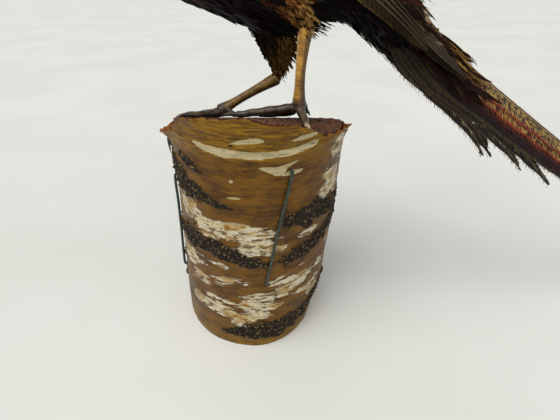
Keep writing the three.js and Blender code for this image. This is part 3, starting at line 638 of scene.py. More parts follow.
WIRES = {
    "wire_front": [(20.8, 228), (17, 186), (13.4, 143), (10.1, 105)],
    "wire_side": [(-76, 192), (-76.4, 160), (-75.6, 120), (-73.5, 79)],
}


def wire_material():
    """Plastic-coated garden wire, dark green and slightly shiny, with scuffed dull places."""
    made, add, shader, place = new_material("coated_wire_green")
    scuff = add("noise", add("scaled", place, per(5)), 1.0, 4, 0.5)
    colour = add("mix", add("range", scuff, 0.45, 0.7), linear("#1d2a20"), linear("#3a4a3c"))
    set_input(shader, "Base Color", colour)
    set_input(shader, "Roughness", add("range", scuff, 0.4, 0.7, 0.32, 0.55))
    set_input(shader, "Normal", add("bump", scuff, 0.15 * MM, 0.6))
    return made


def build_wires():
    material = wire_material()
    for name, route in WIRES.items():
        route = np.array(route, float)
        path = log_point(np.radians(route[:, 0]), route[:, 1], -2.3)
        ends = [log_point(np.radians(route[i, :1]), route[i, 1:] + shift, 1.5)[0] for i,
                shift in ((0, 2.5), (-1, -2.5))]
        path = np.vstack([ends[0], path, ends[1]])
        radii = np.full((len(path), 3), 1.45)
        points, faces, _, _ = limb(path, radii, 44, 12, (0, 1, 0.2), (1, 0, 0))
        finish(build(f"{name}_coated", points, faces, material), "green_wire", name)


# ---------------------------------------------------------------- legs and feet

LEGS = {
    "left": {
        "hock": (32, 41, 334.4), "ankle": (28, 37.5, 268.5),
        "toes": {
            "middle": [(28, 33.5, 267.4), (28.4, 26, 266.6), (28.8, 10, 265), (29.4, -6, 263),
                       (30, -19, 261.6)],
            "inner": [(23.4, 32.5, 263.6), (19, 25, 260.2), (13, 12, 256.9), (8, 0, 254.4)],
            "outer": [(30.5, 38.4, 267), (39, 40.4, 264), (49, 42, 262.6), (57, 42.4, 261.4)],
            "hind": [(25, 40.5, 273), (20, 43.5, 265.6), (15, 45.5, 259.4)],
        },
        "claws": {
            "middle": [(30, -20, 261.6), (30.4, -28, 261.8), (30.8, -35, 259.6)],
            "inner": [(7.6, -1, 254.4), (5.4, -7, 254.2), (3.6, -13, 251.6)],
            "outer": [(58, 42.6, 261.4), (66, 44, 262.6), (74, 46.5, 258.6)],
            "hind": [(14.6, 45.8, 259), (11.4, 48, 257), (9, 49.6, 253)],
        },
    },
    "right": {
        "hock": (-32, 16, 278.6), "ankle": (-30, -43.6, 246),
        "toes": {
            "middle": [(-30, -47.5, 244), (-31, -58, 242), (-32.5, -72, 240), (-34, -84, 238.6),
                       (-34, -94, 234.6), (-33, -100.5, 227.5)],
            "inner": [(-27.5, -46.5, 244.4), (-21, -56, 244.6), (-14.5, -66, 246.2), (-9.5, -74, 247.8)],
            "outer": [(-33, -45.4, 243), (-42, -50, 237.8), (-51, -54.5, 233.8), (-58, -58, 231)],
            "hind": [(-27, -36.5, 248.4), (-21, -30.5, 245), (-16, -26.5, 245.4)],
        },
        "claws": {
            "middle": [(-32.6, -102, 225.8), (-30, -107, 213), (-25.5, -106, 197.5)],
            "inner": [(-9.1, -74.6, 247.8), (-7.6, -80.5, 248), (-6.6, -85, 245.6)],
            "outer": [(-59, -58.4, 230.6), (-64, -61, 230.4), (-68.5, -63, 227.2)],
            "hind": [(-15.5, -26, 245.6), (-12, -22.5, 246.8), (-9, -19.8, 245.4)],
        },
    },
}
TARSUS_RADII = [(6.6, 6.6, 6), (5, 5.2, 4.4), (4.3, 4.5, 3.9), (4.6, 4.8, 4.3), (7, 6.4, 6.8)]
TOE_RADII = [(5, 4.6, 4.6), (4.2, 4, 3.9), (3.7, 3.6, 3.5), (3.1, 3, 3)]
HIND_RADII = [(3.4, 3.4, 3.2), (2.9, 2.9, 2.7), (2.4, 2.4, 2.3)]
CLAW_RADII = [(2.5, 2.5, 2), (1.9, 1.9, 1.5), (0.35, 0.35, 0.35)]
SCUTE_PITCH = 4.2                 # broad plates down the front of the tarsus
TOE_PITCH = 2.7                   # plates across the top of a toe


def scutes(along, angle, pitch, columns):
    """Height and groove of overlapping plates in front, breaking into small round scales behind."""
    front = smooth(0.05, 0.4, np.sin(angle))
    half = np.where(np.cos(angle) > 0, 0.0, 0.5 if columns > 1 else 0.0)
    phase = np.mod(along / pitch + half + 0.08 * np.sin(angle * 2), 1)
    plate = 0.34 * phase ** 1.6 - 0.3 * smooth(0.86, 1, phase)
    middle = bell(np.cos(angle), 0, 0.07) * (columns > 1)
    grooves = np.maximum(smooth(0.84, 0.97, phase), middle)
    row = np.floor(along / (pitch * 0.5))
    small = np.mod(along / (pitch * 0.5), 1)
    turn = np.mod(angle / (2 * math.pi) * 14 + 0.5 * (row % 2), 1)
    away = np.hypot(small - 0.5, turn - 0.5)
    bead = 0.22 * (1 - smooth(0.2, 0.6, away))
    gap = smooth(0.36, 0.52, away)
    height = front * (plate - 0.12 * middle) + (1 - front) * bead
    return height, front * grooves + (1 - front) * gap


def scaled_material(name, light, dark, seam):
    """Dried scaly leg skin: horny plates with a waxy shine and dark seams between them, with painted highlights
    on the lit side and painted shade on the side away from the light.
    """
    made, add, shader, place = new_material(name)
    seam_field = add("value", attribute_name="seam")
    painted_light = add("value", attribute_name="painted_light")
    foot = add("value", attribute_name="foot")
    blotch = add("noise", add("scaled", place, per(7)), 1.0, 4, 0.5)
    fine = add("noise", add("scaled", place, per(1.2)), 1.0, 3, 0.5)
    colour = add("mix", add("range", blotch, 0.36, 0.66), colour_of(dark), colour_of(light))
    # Pale flecks, laid only on the lit side: painted highlights.
    pale = add("mix", add("range", fine, 0.5, 0.75, 0, 0.45), colour, linear("#d8b468"))
    colour = add("mix", add("range", painted_light, 0.4, 0.9), colour, pale)
    # Painted shade: the side away from the light darkens towards the seam colour.
    colour = add("mix", add("range", painted_light, 0.42, 0.0, 0, 0.75), colour, linear(seam))
    colour = add("mix", foot, colour, add("mix", add("range", blotch, 0.4, 0.6), linear("#2a1f17"),
                                          linear("#57483a")))
    colour = add("mix", add("range", seam_field, 0.3, 0.9, 0, 0.85), colour, linear(seam))
    set_input(shader, "Base Color", colour)
    set_input(shader, "Roughness", add("range", seam_field, 0.2, 0.8, 0.28, 0.6))
    set_input(shader, "Normal", add("bump", fine, 0.25 * MM, 0.7))
    return made


def claw_material():
    """Claw horn: dark brown keratin with faint lengthwise streaks, and the near outer claw pale up to its dark
    tip.
    """
    made, add, shader, place = new_material("claw_keratin")
    streak = add("noise", add("scaled", place, per(2.4, 1, 0.4, 1)), 1.0, 4, 0.5)
    tip = add("value", attribute_name="tip")
    colour = add("mix", add("range", streak, 0.4, 0.65), linear("#2a211a"), linear("#5b4a38"))
    colour = add("mix", add("range", tip, 0.0, 1.0), colour, linear("#16110d"))
    pale = add("value", attribute_name="pale")
    colour = add("mix", add("MULTIPLY", pale, 0.85), colour, linear("#c9b48a"))
    set_input(shader, "Base Color", colour)
    set_input(shader, "Roughness", 0.34)
    set_input(shader, "Normal", add("bump", streak, 0.2 * MM, 0.6))
    return made


def build_tarsus(side, material):
    """One lower leg with its front plates and small hind scales."""
    leg = LEGS[side]
    hock, ankle = np.array(leg["hock"], float), np.array(leg["ankle"], float)
    steps = np.linspace(0, 1, 5)
    path = hock + (ankle - hock) * steps[:, None] - np.array([0, 1.4, 0]) * np.sin(np.pi * steps)[:, None]
    length = float(np.linalg.norm(ankle - hock))
    relief = lambda t, a: scutes(t * length, a, SCUTE_PITCH, 2)[0] - 0.1
    points, faces, t, a = limb(path, TARSUS_RADII, 130, 56, (1, 0, 0), (0, -1, 0.2), relief)
    seam = scutes(t * length, a, SCUTE_PITCH, 2)[1]
    # Painted light: 1 on the lit front of the shank, where painted highlights go, falling to 0 behind, where
    # painted shade goes, and dimmer near the foot.
    painted_light = smooth(-0.5, 0.55, np.sin(a)) * (1 - 0.55 * smooth(0.82, 1, t))
    fields = {"seam": seam * (0.55 + 0.45 * smooth(0.3, 0.7, t)), "painted_light": painted_light,
              "foot": smooth(0.8, 0.97, t)}
    finish(build(f"tarsus_{side}_scaled", points, faces, material, fields), "leg_scale", f"tarsus_{side}")


def across(path):
    run = np.subtract(path[-1], path[0])
    return np.cross(run, (0, 0, 1)) / np.linalg.norm(np.cross(run, (0, 0, 1)))


def build_toes(side, material, horn):
    leg = LEGS[side]
    for toe, path in leg["toes"].items():
        radii = HIND_RADII if toe == "hind" else TOE_RADII
        length = float(np.sum(np.linalg.norm(np.diff(np.array(path, float), axis=0), axis=1)))
        joints = max(2, round(length / 15))

        def relief(t, a, length=length, joints=joints):
            plate = scutes(t * length, a, TOE_PITCH, 1)[0]
            pads = smooth(0, 0.9, -np.sin(a)) * 0.5 * np.abs(np.sin(np.pi * joints * t)) ** 0.6
            knuckle = smooth(0, 1, np.sin(a)) * 0.3 * np.cos(2 * np.pi * joints * t)
            return plate + pads + knuckle - 0.35

        points, faces, t, a = limb(path, radii, max(30, int(length * 2)), 40, across(path), (0, 0, 1),
                                   relief)
        # The toe's top takes painted highlights and its underside painted shade.
        fields = {"seam": scutes(t * length, a, TOE_PITCH, 1)[1],
                  "painted_light": smooth(-0.4, 0.8, np.sin(a)) * 0.8, "foot": 0 * t}
        finish(build(f"toe_{toe}_{side}_scaled", points, faces, material, fields), "toe_scale",
               f"toe_{toe}_{side}")
        claw = leg["claws"][toe]
        outer = 2 * np.array(claw[1], float) - claw[0] - claw[2]
        scale = 0.8 if toe == "hind" else 1.0
        size = np.array(CLAW_RADII) * scale
        hollow = lambda t, a: -0.35 * smooth(0.2, 1, -np.sin(a)) * (1 - t) - 0.12 * bell(a, 0.6, 0.3)
        start = np.array(claw[0], float) - (np.array(claw[1], float) - claw[0]) * 0.16
        points, faces, t, a = limb([start, *claw[1:]], size, 26, 20, across(path), outer, hollow)
        pale = np.full(len(points), 1.0 if (side, toe) == ("left", "outer") else 0.0)
        fields = {"tip": smooth(0.35, 1, t), "pale": pale * (1 - smooth(0.7, 1, t))}
        finish(build(f"claw_{toe}_{side}_horn", points, faces, horn, fields), "claw_horn",
               f"claw_{toe}_{side}")


def build_legs():
    # The right leg is the far one: its darker copy of the near leg's plate colours is painted shade.
    shank = {"left": scaled_material("leg_plates_ochre", settings("legs").near, "#9a6a22", "#35200c"),
             "right": scaled_material("leg_plates_ochre_painted_shade", settings("legs").far, "#6f4f1f", "#24160a"),}
    foot = scaled_material("toe_plates_dark", settings("legs").toes, "#33271d", "#15100c")
    horn = claw_material()
    for side in ("left", "right"):
        build_tarsus(side, shank[side])
        build_toes(side, foot, horn)


# ---------------------------------------------------------------- stage

CAMERA_PLACE = (0.357, 0.020, 0.373)
CAMERA_DIP = 33.69                # how far the camera looks down, in degrees
FLOOR_SIZE = 40
# The lamps: name, place, strength as a share of the key lamp's, and how wide each one is in degrees.
LAMPS = [("key", (0.7, -0.7, 1.5), 1.0, 55), ("fill", (1.2, 1.1, 1.0), 0.3, 80)]


def build_stage():
    deselect()
    bpy.ops.mesh.primitive_plane_add(size=FLOOR_SIZE, location=(0, 0, 0))
    floor = bpy.context.object
    floor.name = "floor"
    made, add, shader, place = new_material("table_matt_pale")
    cloud = add("noise", add("scaled", place, per(300)), 1.0, 2, 0.5)
    colour = add("mix", add("range", cloud, 0.3, 0.7), linear("#e3e2d9"), linear("#e9e8e0"))
    set_input(shader, "Base Color", colour)
    set_input(shader, "Roughness", 0.7)
    floor.data.materials.append(made)
    view = settings("stage")
    camera = bpy.data.cameras.new("camera")
    camera.lens = view.lens
    camera.sensor_width = 36
    camera.clip_start = 0.02
    viewer = bpy.data.objects.new("camera", camera)
    viewer.location = CAMERA_PLACE
    viewer.rotation_euler = (math.radians(90 - CAMERA_DIP), 0, math.radians(90))
    bpy.context.scene.collection.objects.link(viewer)
    bpy.context.scene.camera = viewer
    world = bpy.data.worlds.new("studio")
    world.use_nodes = True
    world.node_tree.nodes["Background"].inputs[0].default_value = linear("#dfe2e6")
    world.node_tree.nodes["Background"].inputs[1].default_value = view.ambient
    bpy.context.scene.world = world
    bpy.context.scene.view_settings.view_transform = "Standard"
    for name, place, share, spread in LAMPS:
        lamp = bpy.data.lights.new(name, "SUN")
        lamp.energy = view.key * share
        lamp.angle = math.radians(spread)
        made = bpy.data.objects.new(name, lamp)
        made.rotation_euler = Vector(place).to_track_quat("Z", "Y").to_euler()
        bpy.context.scene.collection.objects.link(made)


# ---------------------------------------------------------------- body shapes

TRUNK_PATH = [(0, -146, 452), (0, -136, 450), (0, -116, 444), (0, -82, 433), (0, -40, 418), (0, 0, 400),
              (0, 44, 380), (0, 80, 362), (0, 113, 338), (0, 148, 310), (0, 178, 290), (0, 202, 274)]
TRUNK_RADII = [(10, 12, 10), (28, 33, 30), (46, 56, 50), (56, 68, 62), (58, 72, 67), (56, 69, 67),
               (46, 65, 55), (31, 27, 44), (24, 23, 36), (20, 22, 28), (14, 16, 25), (6, 7, 20)]
TRUNK_KEEL = 1.3
HEAD_PLACE = np.array([0, -139, 594.0])
HEAD_TILT = math.radians(9)

# The body's middle line from the brow to the tail's root, as y and z.
SPINE = np.array([(-166, 598), (-139, 594), (-131, 568), (-127, 542), (-119, 512), (-106, 478), (-86, 446),
                  (-40, 418), (0, 400), (44, 380), (80, 362), (113, 338), (148, 310), (202, 274)], float)
THIGH_LINES = {
    "thigh_left": [(32, 41, 333), (32.8, 37.5, 342), (35.5, 30, 354), (40, 12, 374), (38, -8, 398)],
    "thigh_right": [(-32, 16.5, 278.4), (-32, 18, 290), (-33, 18, 304), (-36, 13, 330), (-38, -4, 366)],
}
FLESH = ["head", "neck", "trunk", "rump", "thigh_left", "thigh_right", "wing_coverts_left",
         "wing_coverts_right",
         "wing_flight_left", "wing_flight_right"]
SKIN_VOXEL = 2.4


def head_place(points):
    """Points of the level head turned and moved to their place."""
    x, y, z = np.asarray(points, float).T
    c, s = math.cos(HEAD_TILT), math.sin(HEAD_TILT)
    return np.stack([x, y * c - z * s, y * s + z * c], -1) + HEAD_PLACE


def trunk_point(t, angle, extra):
    """Points on the trunk's outside at shares along it and angles round it, raised by extra."""
    t, angle, extra = np.broadcast_arrays(t, angle, extra)
    flat = t.ravel()
    centre, size = curve(TRUNK_PATH, flat), curve(TRUNK_RADII, flat)
    tangent = unit(curve(TRUNK_PATH, np.minimum(flat + 0.01, 1)) - curve(TRUNK_PATH,
            np.maximum(flat - 0.01, 0)))
    up = np.cross((1, 0, 0), tangent)
    up *= np.sign(up[:, 2:3])
    a, extra = angle.ravel(), extra.ravel()
    power = np.where(np.sin(a) < 0, TRUNK_KEEL, 1)
    side = np.sign(np.cos(a)) * np.abs(np.cos(a)) ** power * (size[:, 2] + extra)
    rise = np.sign(np.sin(a)) * np.abs(np.sin(a)) ** power * (np.where(np.sin(a) > 0, size[:, 0],
            size[:, 1]) + extra)
    points = centre + up * rise[:, None]
    points[:, 0] += side
    return points.reshape(*t.shape, 3)


def along_line(points, line):
    """Distance along a line of the nearest place to each point, its direction and the offset from it."""
    line = np.asarray(line, float)
    run = np.diff(line, axis=0)
    length = np.linalg.norm(run, axis=1)
    start = np.append(0, np.cumsum(length))
    best = np.full(len(points), np.inf)
    along, ahead, offset = np.zeros(len(points)), np.zeros_like(points), np.zeros_like(points)
    for i in range(len(run)):
        share = np.clip(((points - line[i]) @ run[i]) / length[i] ** 2, 0, 1)
        away = points - line[i] - share[:, None] * run[i]
        distance = np.linalg.norm(away, axis=1)
        closer = distance < best
        best = np.where(closer, distance, best)
        along = np.where(closer, start[i] + share * length[i], along)
        ahead[closer] = run[i] / length[i]
        offset[closer] = away[closer]
    return along, ahead, offset


def body_place(points):
    """Each point's distance down the spine, its direction there, and its angle from side to back."""
    flat = points * [0, 1, 1]
    line = np.column_stack([0 * SPINE[:, 0], SPINE])
    along, _, offset = along_line(flat, line)
    steps = np.append(0, np.cumsum(np.linalg.norm(np.diff(line, axis=0), axis=1)))
    middle = (steps[1:] + steps[:-1]) / 2
    heading = np.unwrap(np.arctan2(np.diff(SPINE[:, 1]), np.diff(SPINE[:, 0])))
    turn = np.interp(along, middle, heading)
    ahead = np.stack([0 * turn, np.cos(turn), np.sin(turn)], -1)
    back = np.stack([0 * turn, -np.sin(turn), np.cos(turn)], -1)
    rise = np.einsum("ij,ij->i", offset, back)
    angle = np.arctan2(rise, np.abs(points[:, 0]))
    return along, ahead, angle


class Body:
    """The skin, the surfaces that feathers lie on, and those that tell the regions apart."""
    skin = None
    over = None
    under = None
    regions = None


def cad_mesh(node):
    """A CAD node's points and faces."""
    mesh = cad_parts[node].data
    return positions(mesh), [tuple(p.vertices) for p in mesh.polygons]


def tree_of(meshes):
    """One search tree over several meshes, given as points and faces."""
    corners, cells = [], []
    for points, faces in meshes:
        start = len(corners)
        corners += [Vector(p) for p in points * MM]
        cells += [tuple(start + int(i) for i in face) for face in faces]
    return BVHTree.FromPolygons(corners, cells)


def tail_sheet(depth, facing):
    """The top or the underside of the folded tail near its root, as points and faces."""
    along, across = np.linspace(0, 260, 60), np.linspace(-44, 44, 45)
    points = tail_point(along[:, None], across[None], depth)
    faces = grid_faces(60, 45, closed=False)
    first = points.reshape(-1, 3)[faces[0]]
    rises = np.cross(first[1] - first[0], first[2] - first[0])[2] > 0
    return points.reshape(-1, 3), faces if rises == (facing > 0) else faces[:, ::-1]


def build_skin():
    """One seamless skin, drawn in from the flesh by the depth of the coat."""
    skin = flesh_copy("skin", FLESH)
    Body.regions = [tree_of([cad_mesh(node)]) for node in FLESH]
    apply_modifier(skin, "DISPLACE", strength=0.0009, mid_level=0.0)
    apply_modifier(skin, "REMESH", mode="VOXEL", voxel_size=SKIN_VOXEL * MM)
    apply_modifier(skin, "SMOOTH", factor=0.5, iterations=8)
    apply_modifier(skin, "DISPLACE", strength=-settings("plumage").depth * MM, mid_level=0.0)
    for polygon in skin.data.polygons:
        polygon.use_smooth = True
    shanks = [cad_mesh("tarsus_left"), cad_mesh("tarsus_right")]
    whole = (positions(skin.data), [tuple(p.vertices) for p in skin.data.polygons])
    Body.over = tree_of([whole, *shanks, tail_sheet(-1.0, 1)])
    Body.under = tree_of([whole, *shanks, tail_sheet(13.5, -1)])
    Body.skin = skin
    points = positions(skin.data)
    region = owner_of(points)
    look = plumage(region, points)
    store(skin.data, {"ground": look["ground"], "border": look["border"]})
    skin.data.materials.append(skin_material())
    finish(skin, "body_plumage", *FLESH)


def owner_of(points):
    """The index in FLESH of the node nearest to each point."""
    best = np.full(len(points), np.inf)
    owner = np.zeros(len(points), int)
    places = [Vector(p) for p in points * MM]
    lows = [np.array(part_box(node)[0]) / MM - 12 for node in FLESH]
    highs = [np.array(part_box(node)[1]) / MM + 12 for node in FLESH]
    for index, tree in enumerate(Body.regions):
        near = np.nonzero(np.all((points > lows[index]) & (points < highs[index]), axis=1))[0]
        for i in near:
            distance = tree.find_nearest(places[i])[3]
            if distance < best[i]:
                best[i], owner[i] = distance, index
    return owner


# ---------------------------------------------------------------- plumage

def pick(conditions, values, default):
    """The first value whose condition holds, for each place."""
    out = np.broadcast_to(np.asarray(default, float), (len(conditions[0]),) + np.shape(default)).copy()
    done = np.zeros(len(conditions[0]), bool)
    for condition, value in zip(conditions, values):
        use = condition & ~done
        out[use] = value
        done |= use
    return out


def plumage(region, points):
    """Feather colours, sizes and markings at places on the body."""
    name = np.array(FLESH)[region]
    along, ahead, angle = body_place(points)
    x, y, _ = points.T
    degrees = np.degrees(angle)
    wobble = fractal(points, 24, 3, seed=61)
    count = len(points)
    is_head = name == "head"
    is_neck = name == "neck"
    is_thigh = np.char.startswith(name, "thigh")
    is_wing = np.char.startswith(name, "wing")
    body = (name == "trunk") | is_neck
    breast_line = 118 + 22 * np.sin(angle) + 5 * wobble
    ring = (np.abs(along - 100 - 7 * np.sin(angle)) < 6 + 1.5 * wobble) & body & (degrees > -62)
    neck = (is_neck | body) & (along < breast_line)
    mantle = body & (degrees > 24 - 0.04 * (along - 200)) & (along < 290)
    back = (body | (name == "rump")) & (degrees > 6) & (along >= 250 + 6 * wobble)
    vent = ((name == "rump") | (body & (along > 300))) & (degrees <= 6)
    belly = body & (degrees < -52 + 12 * wobble) & (along > 200)
    breast = body & (along < 235 + 14 * wobble) & ~mantle
    flank = body
    conditions = [is_head, ring, neck, is_thigh & (x > 0), is_thigh, is_wing, mantle & (along < 262),
                  back, vent, belly, breast, flank]
    chosen = settings("plumage")
    # The far thigh's near-black ground, after the near thigh's, is painted shade.
    ground = [chosen.head, chosen.ring, chosen.neck, chosen.thigh, "#150d08", chosen.coverts,
              chosen.mantle, "#5a5230", "#080303", chosen.belly, chosen.breast, chosen.flank]
    border = ["#0a1f33", "#f2eee2", "#2a1238", "#3a1e0c", "#3a2812", "#5a462e", "#1c100c", "#5a2c18",
              "#0a0403", "#0c0404", "#180810", "#120810"]
    length = [6.5, 10, 12, 20, 17, 21, 27, 34, 20, 28, 24, 34]
    width = [4.0, 8, 8, 2.6, 2.6, 13, 16, 8, 4, 13, 16, 17]
    spacing = [2.3, 3.8, 3.9, 2.5, 2.5, 6.2, 7.2, 5.4, 3.8, 7.4, 8, 8.2]
    edge = [0.2, 0.1, 0.22, 0.12, 0.2, 0.16, 0.2, 0.3, 0.2, 0.15, 0.2, 0.24]
    bars = [0, 0, 0, 0.2, 0.1, 0.3, 0.65, 0.3, 0, 0, 0, 0]
    fluff = [0, 0.2, 0, 0.9, 0.9, 0.1, 0.1, 0.55, 1, 0.8, 0.1, 0.15]
    look = {
        "ground": pick(conditions, [colour_of(c) for c in ground], linear("#8a5a2a")),
        "border": pick(conditions, [colour_of(c) for c in border], linear("#1a100c")),
        "length": pick(conditions, length, 20.0), "width": pick(conditions, width, 10.0),
        "spacing": pick(conditions, spacing, 8.0), "edge": pick(conditions, edge, 0.2),
        "bars": pick(conditions, bars, 0.0), "fluff": pick(conditions, fluff, 0.0),
    }
    # The head is greenest on the crown, the neck turns from green to violet blue.
    green = smooth(70, 30, along) * (body | is_head)
    look["ground"] = blend(look["ground"], linear("#12402c"), np.where(neck & ~ring, green, 0))
    look["ground"] = blend(look["ground"], linear("#4a4a2a"), np.where(is_head & (degrees > 55), 0.6, 0))
    # The breast darkens to maroon and black towards the belly: partly the belly's own dark colour, partly
    # painted shade on the body's underside.
    low = smooth(-25, -62, degrees + 6 * wobble) * (breast | neck) * (along > 110)
    look["ground"] = blend(look["ground"], linear("#240808"), low * 0.93)
    look["border"] = blend(look["border"], linear("#0c0406"), low)
    # Lower leg feathers are ochre gold; the thigh's front is dark. The far thigh's near-black ground and darker
    # gold are painted shade.
    for side in ("thigh_left", "thigh_right"):
        here = name == side
        reach = along_line(points, THIGH_LINES[side])[0]
        near = smooth(46, 8, reach) * here
        # The far thigh's darker gold is painted shade.
        gold = linear("#a07c3c") if side == "thigh_left" else linear("#76561f")
        low = near if side == "thigh_left" else smooth(78, 20, reach) * here
        look["ground"] = blend(look["ground"], gold, low * (0.75 if side == "thigh_left" else 0.9))
        look["length"] = np.where(here, look["length"] - 8 * near, look["length"])
        look["width"] = np.where(here, look["width"] - 0.5 * near, look["width"])
        look["spacing"] = np.where(here, look["spacing"] - 0.6 * near, look["spacing"])
        streak = fractal(points * [1, 1, 0.4], 7, 2, seed=67)
        red = here * smooth(0.0, 0.4, streak) * (side == "thigh_left")
        look["ground"] = blend(look["ground"], linear("#5e2c10"), red * 0.7)
        tan = here * smooth(-0.1, -0.45, streak) * (side == "thigh_left")
        look["ground"] = blend(look["ground"], linear("#a87c40"), tan * 0.7)
        behind = along_line(points, THIGH_LINES[side])[2][:, 1]
        dark = here * (smooth(18, -4, y) * smooth(30, 60, reach) if side == "thigh_left" else smooth(3,
                -5, behind) * smooth(14, 50, reach))
        look["ground"] = blend(look["ground"], linear("#1a0f0a"), dark)
        look["border"] = blend(look["border"], linear("#0c0706"), dark)
    # Small scapular feathers shade the mantle into the wing, and the rump's sides redden.
    rust = back * smooth(50, 10, degrees)
    look["ground"] = blend(look["ground"], linear("#5e3018"), rust * 0.7)
    long_coverts = back * smooth(320, 380, along)
    look["length"] = look["length"] + 18 * long_coverts
    look["width"] = look["width"] - 3 * long_coverts
    look["spacing"] = look["spacing"] - 1 * long_coverts
    look["ground"] = blend(look["ground"], linear("#94702c"), long_coverts * smooth(20, 50, degrees))
    look["ground"] = blend(look["ground"], linear("#150c08"), long_coverts * smooth(36, 14, degrees))
    look["border"] = blend(look["border"], linear("#32150e"), long_coverts)
    look["fluff"] = np.where(back, 0.5, look["fluff"])
    look["edge"] = look["edge"] - 0.18 * long_coverts
    face = is_head & (along < 30)
    look["length"] = np.where(face, 4.6, look["length"])
    look["spacing"] = np.where(face, 1.9, look["spacing"])
    look["width"] = np.where(face, 3.0, look["width"])
    tone = 1 + 0.16 * fractal(points + 500, 30, 2, seed=71)
    look["ground"] = look["ground"] * np.column_stack([tone, tone, tone, np.ones(count)])
    look["name"], look["along"], look["angle"], look["ahead"] = name, along, angle, ahead
    look["under"] = vent | belly
    return look


def lie_of_coat(points, look):
    """The direction in which the feathers at each place lie."""
    ahead = look["ahead"].copy()
    name, angle = look["name"], look["angle"]
    for side, line in THIGH_LINES.items():
        here = name == side
        if here.any():
            ahead[here] = -along_line(points[here], line)[1] + [0, 0.35, 0]
    droop = np.char.startswith(name, "wing")
    ahead[droop] += [0, 0, -0.12]
    under = ((name == "rump") | (name == "trunk")) & (np.degrees(angle) < -20) & (look["along"] > 280)
    ahead[under] += [0, 0, -0.12]
    return unit(ahead)


def scatter(spacing_of, seed):
    """Evenly spread places on the skin, each no nearer another than its own spacing."""
    rng = np.random.default_rng(seed)
    mesh = Body.skin.data
    mesh.calc_loop_triangles()
    corners = np.zeros(len(mesh.loop_triangles) * 3, np.int32)
    mesh.loop_triangles.foreach_get("vertices", corners)
    place = positions(mesh)[corners.reshape(-1, 3)]
    area = np.linalg.norm(np.cross(place[:, 1] - place[:, 0], place[:, 2] - place[:, 0]), axis=1) / 2
    candidates = int(area.sum() * 0.42)
    chosen = rng.choice(len(area), candidates, p=area / area.sum())
    a, b = rng.random(candidates), rng.random(candidates)
    flip = a + b > 1
    a, b = np.where(flip, 1 - a, a), np.where(flip, 1 - b, b)
    tri = place[chosen]
    points = tri[:, 0] + a[:, None] * (tri[:, 1] - tri[:, 0]) + b[:, None] * (tri[:, 2] - tri[:, 0])
    region = owner_of(points)
    look = plumage(region, points)
    spacing = spacing_of(look, points)
    kept, cells, size = [], {}, 10.0
    keys = np.floor(points / size).astype(int)
    near = [(i, j, k) for i in (-1, 0, 1) for j in (-1, 0, 1) for k in (-1, 0, 1)]
    for index in range(candidates):
        reach = spacing[index]
        if not reach < 1e3:
            continue
        x, y, z = points[index]
        kx, ky, kz = keys[index]
        clash = False
        for i, j, k in near:
            for ox, oy, oz in cells.get((kx + i, ky + j, kz + k), ()):
                if (ox - x) ** 2 + (oy - y) ** 2 + (oz - z) ** 2 < reach * reach:
                    clash = True
                    break
            if clash:
                break
        if not clash:
            kept.append(index)
            cells.setdefault((kx, ky, kz), []).append((x, y, z))
    kept = np.array(kept)
    return points[kept], {key: value[kept] for key, value in look.items()}


VANE_ROWS = np.array([0, 0.16, 0.34, 0.54, 0.72, 0.87, 1.0])
VANE_WIDTHS = np.array([0.3, 0.72, 0.96, 1.0, 0.9, 0.66, 0.2])
VANE_COLUMNS = np.array([-1, -0.5, 0, 0.5, 1.0])
HAIR_COLUMNS = np.array([-1, 0, 1.0])
LIE = 0.8                         # how steeply feathers stand off the skin
PATCH = 0.003                     # width of each feather's patch in the OFBake map


def hug(centre, under):
    """The nearest points of the surface that feathers lie on, and its outward normals."""
    found = [(Body.under if below else Body.over).find_nearest(Vector(p)) for p,
             below in zip(centre * MM, under)]
    return np.array([f[0] for f in found]) / MM, np.array([f[1] for f in found])


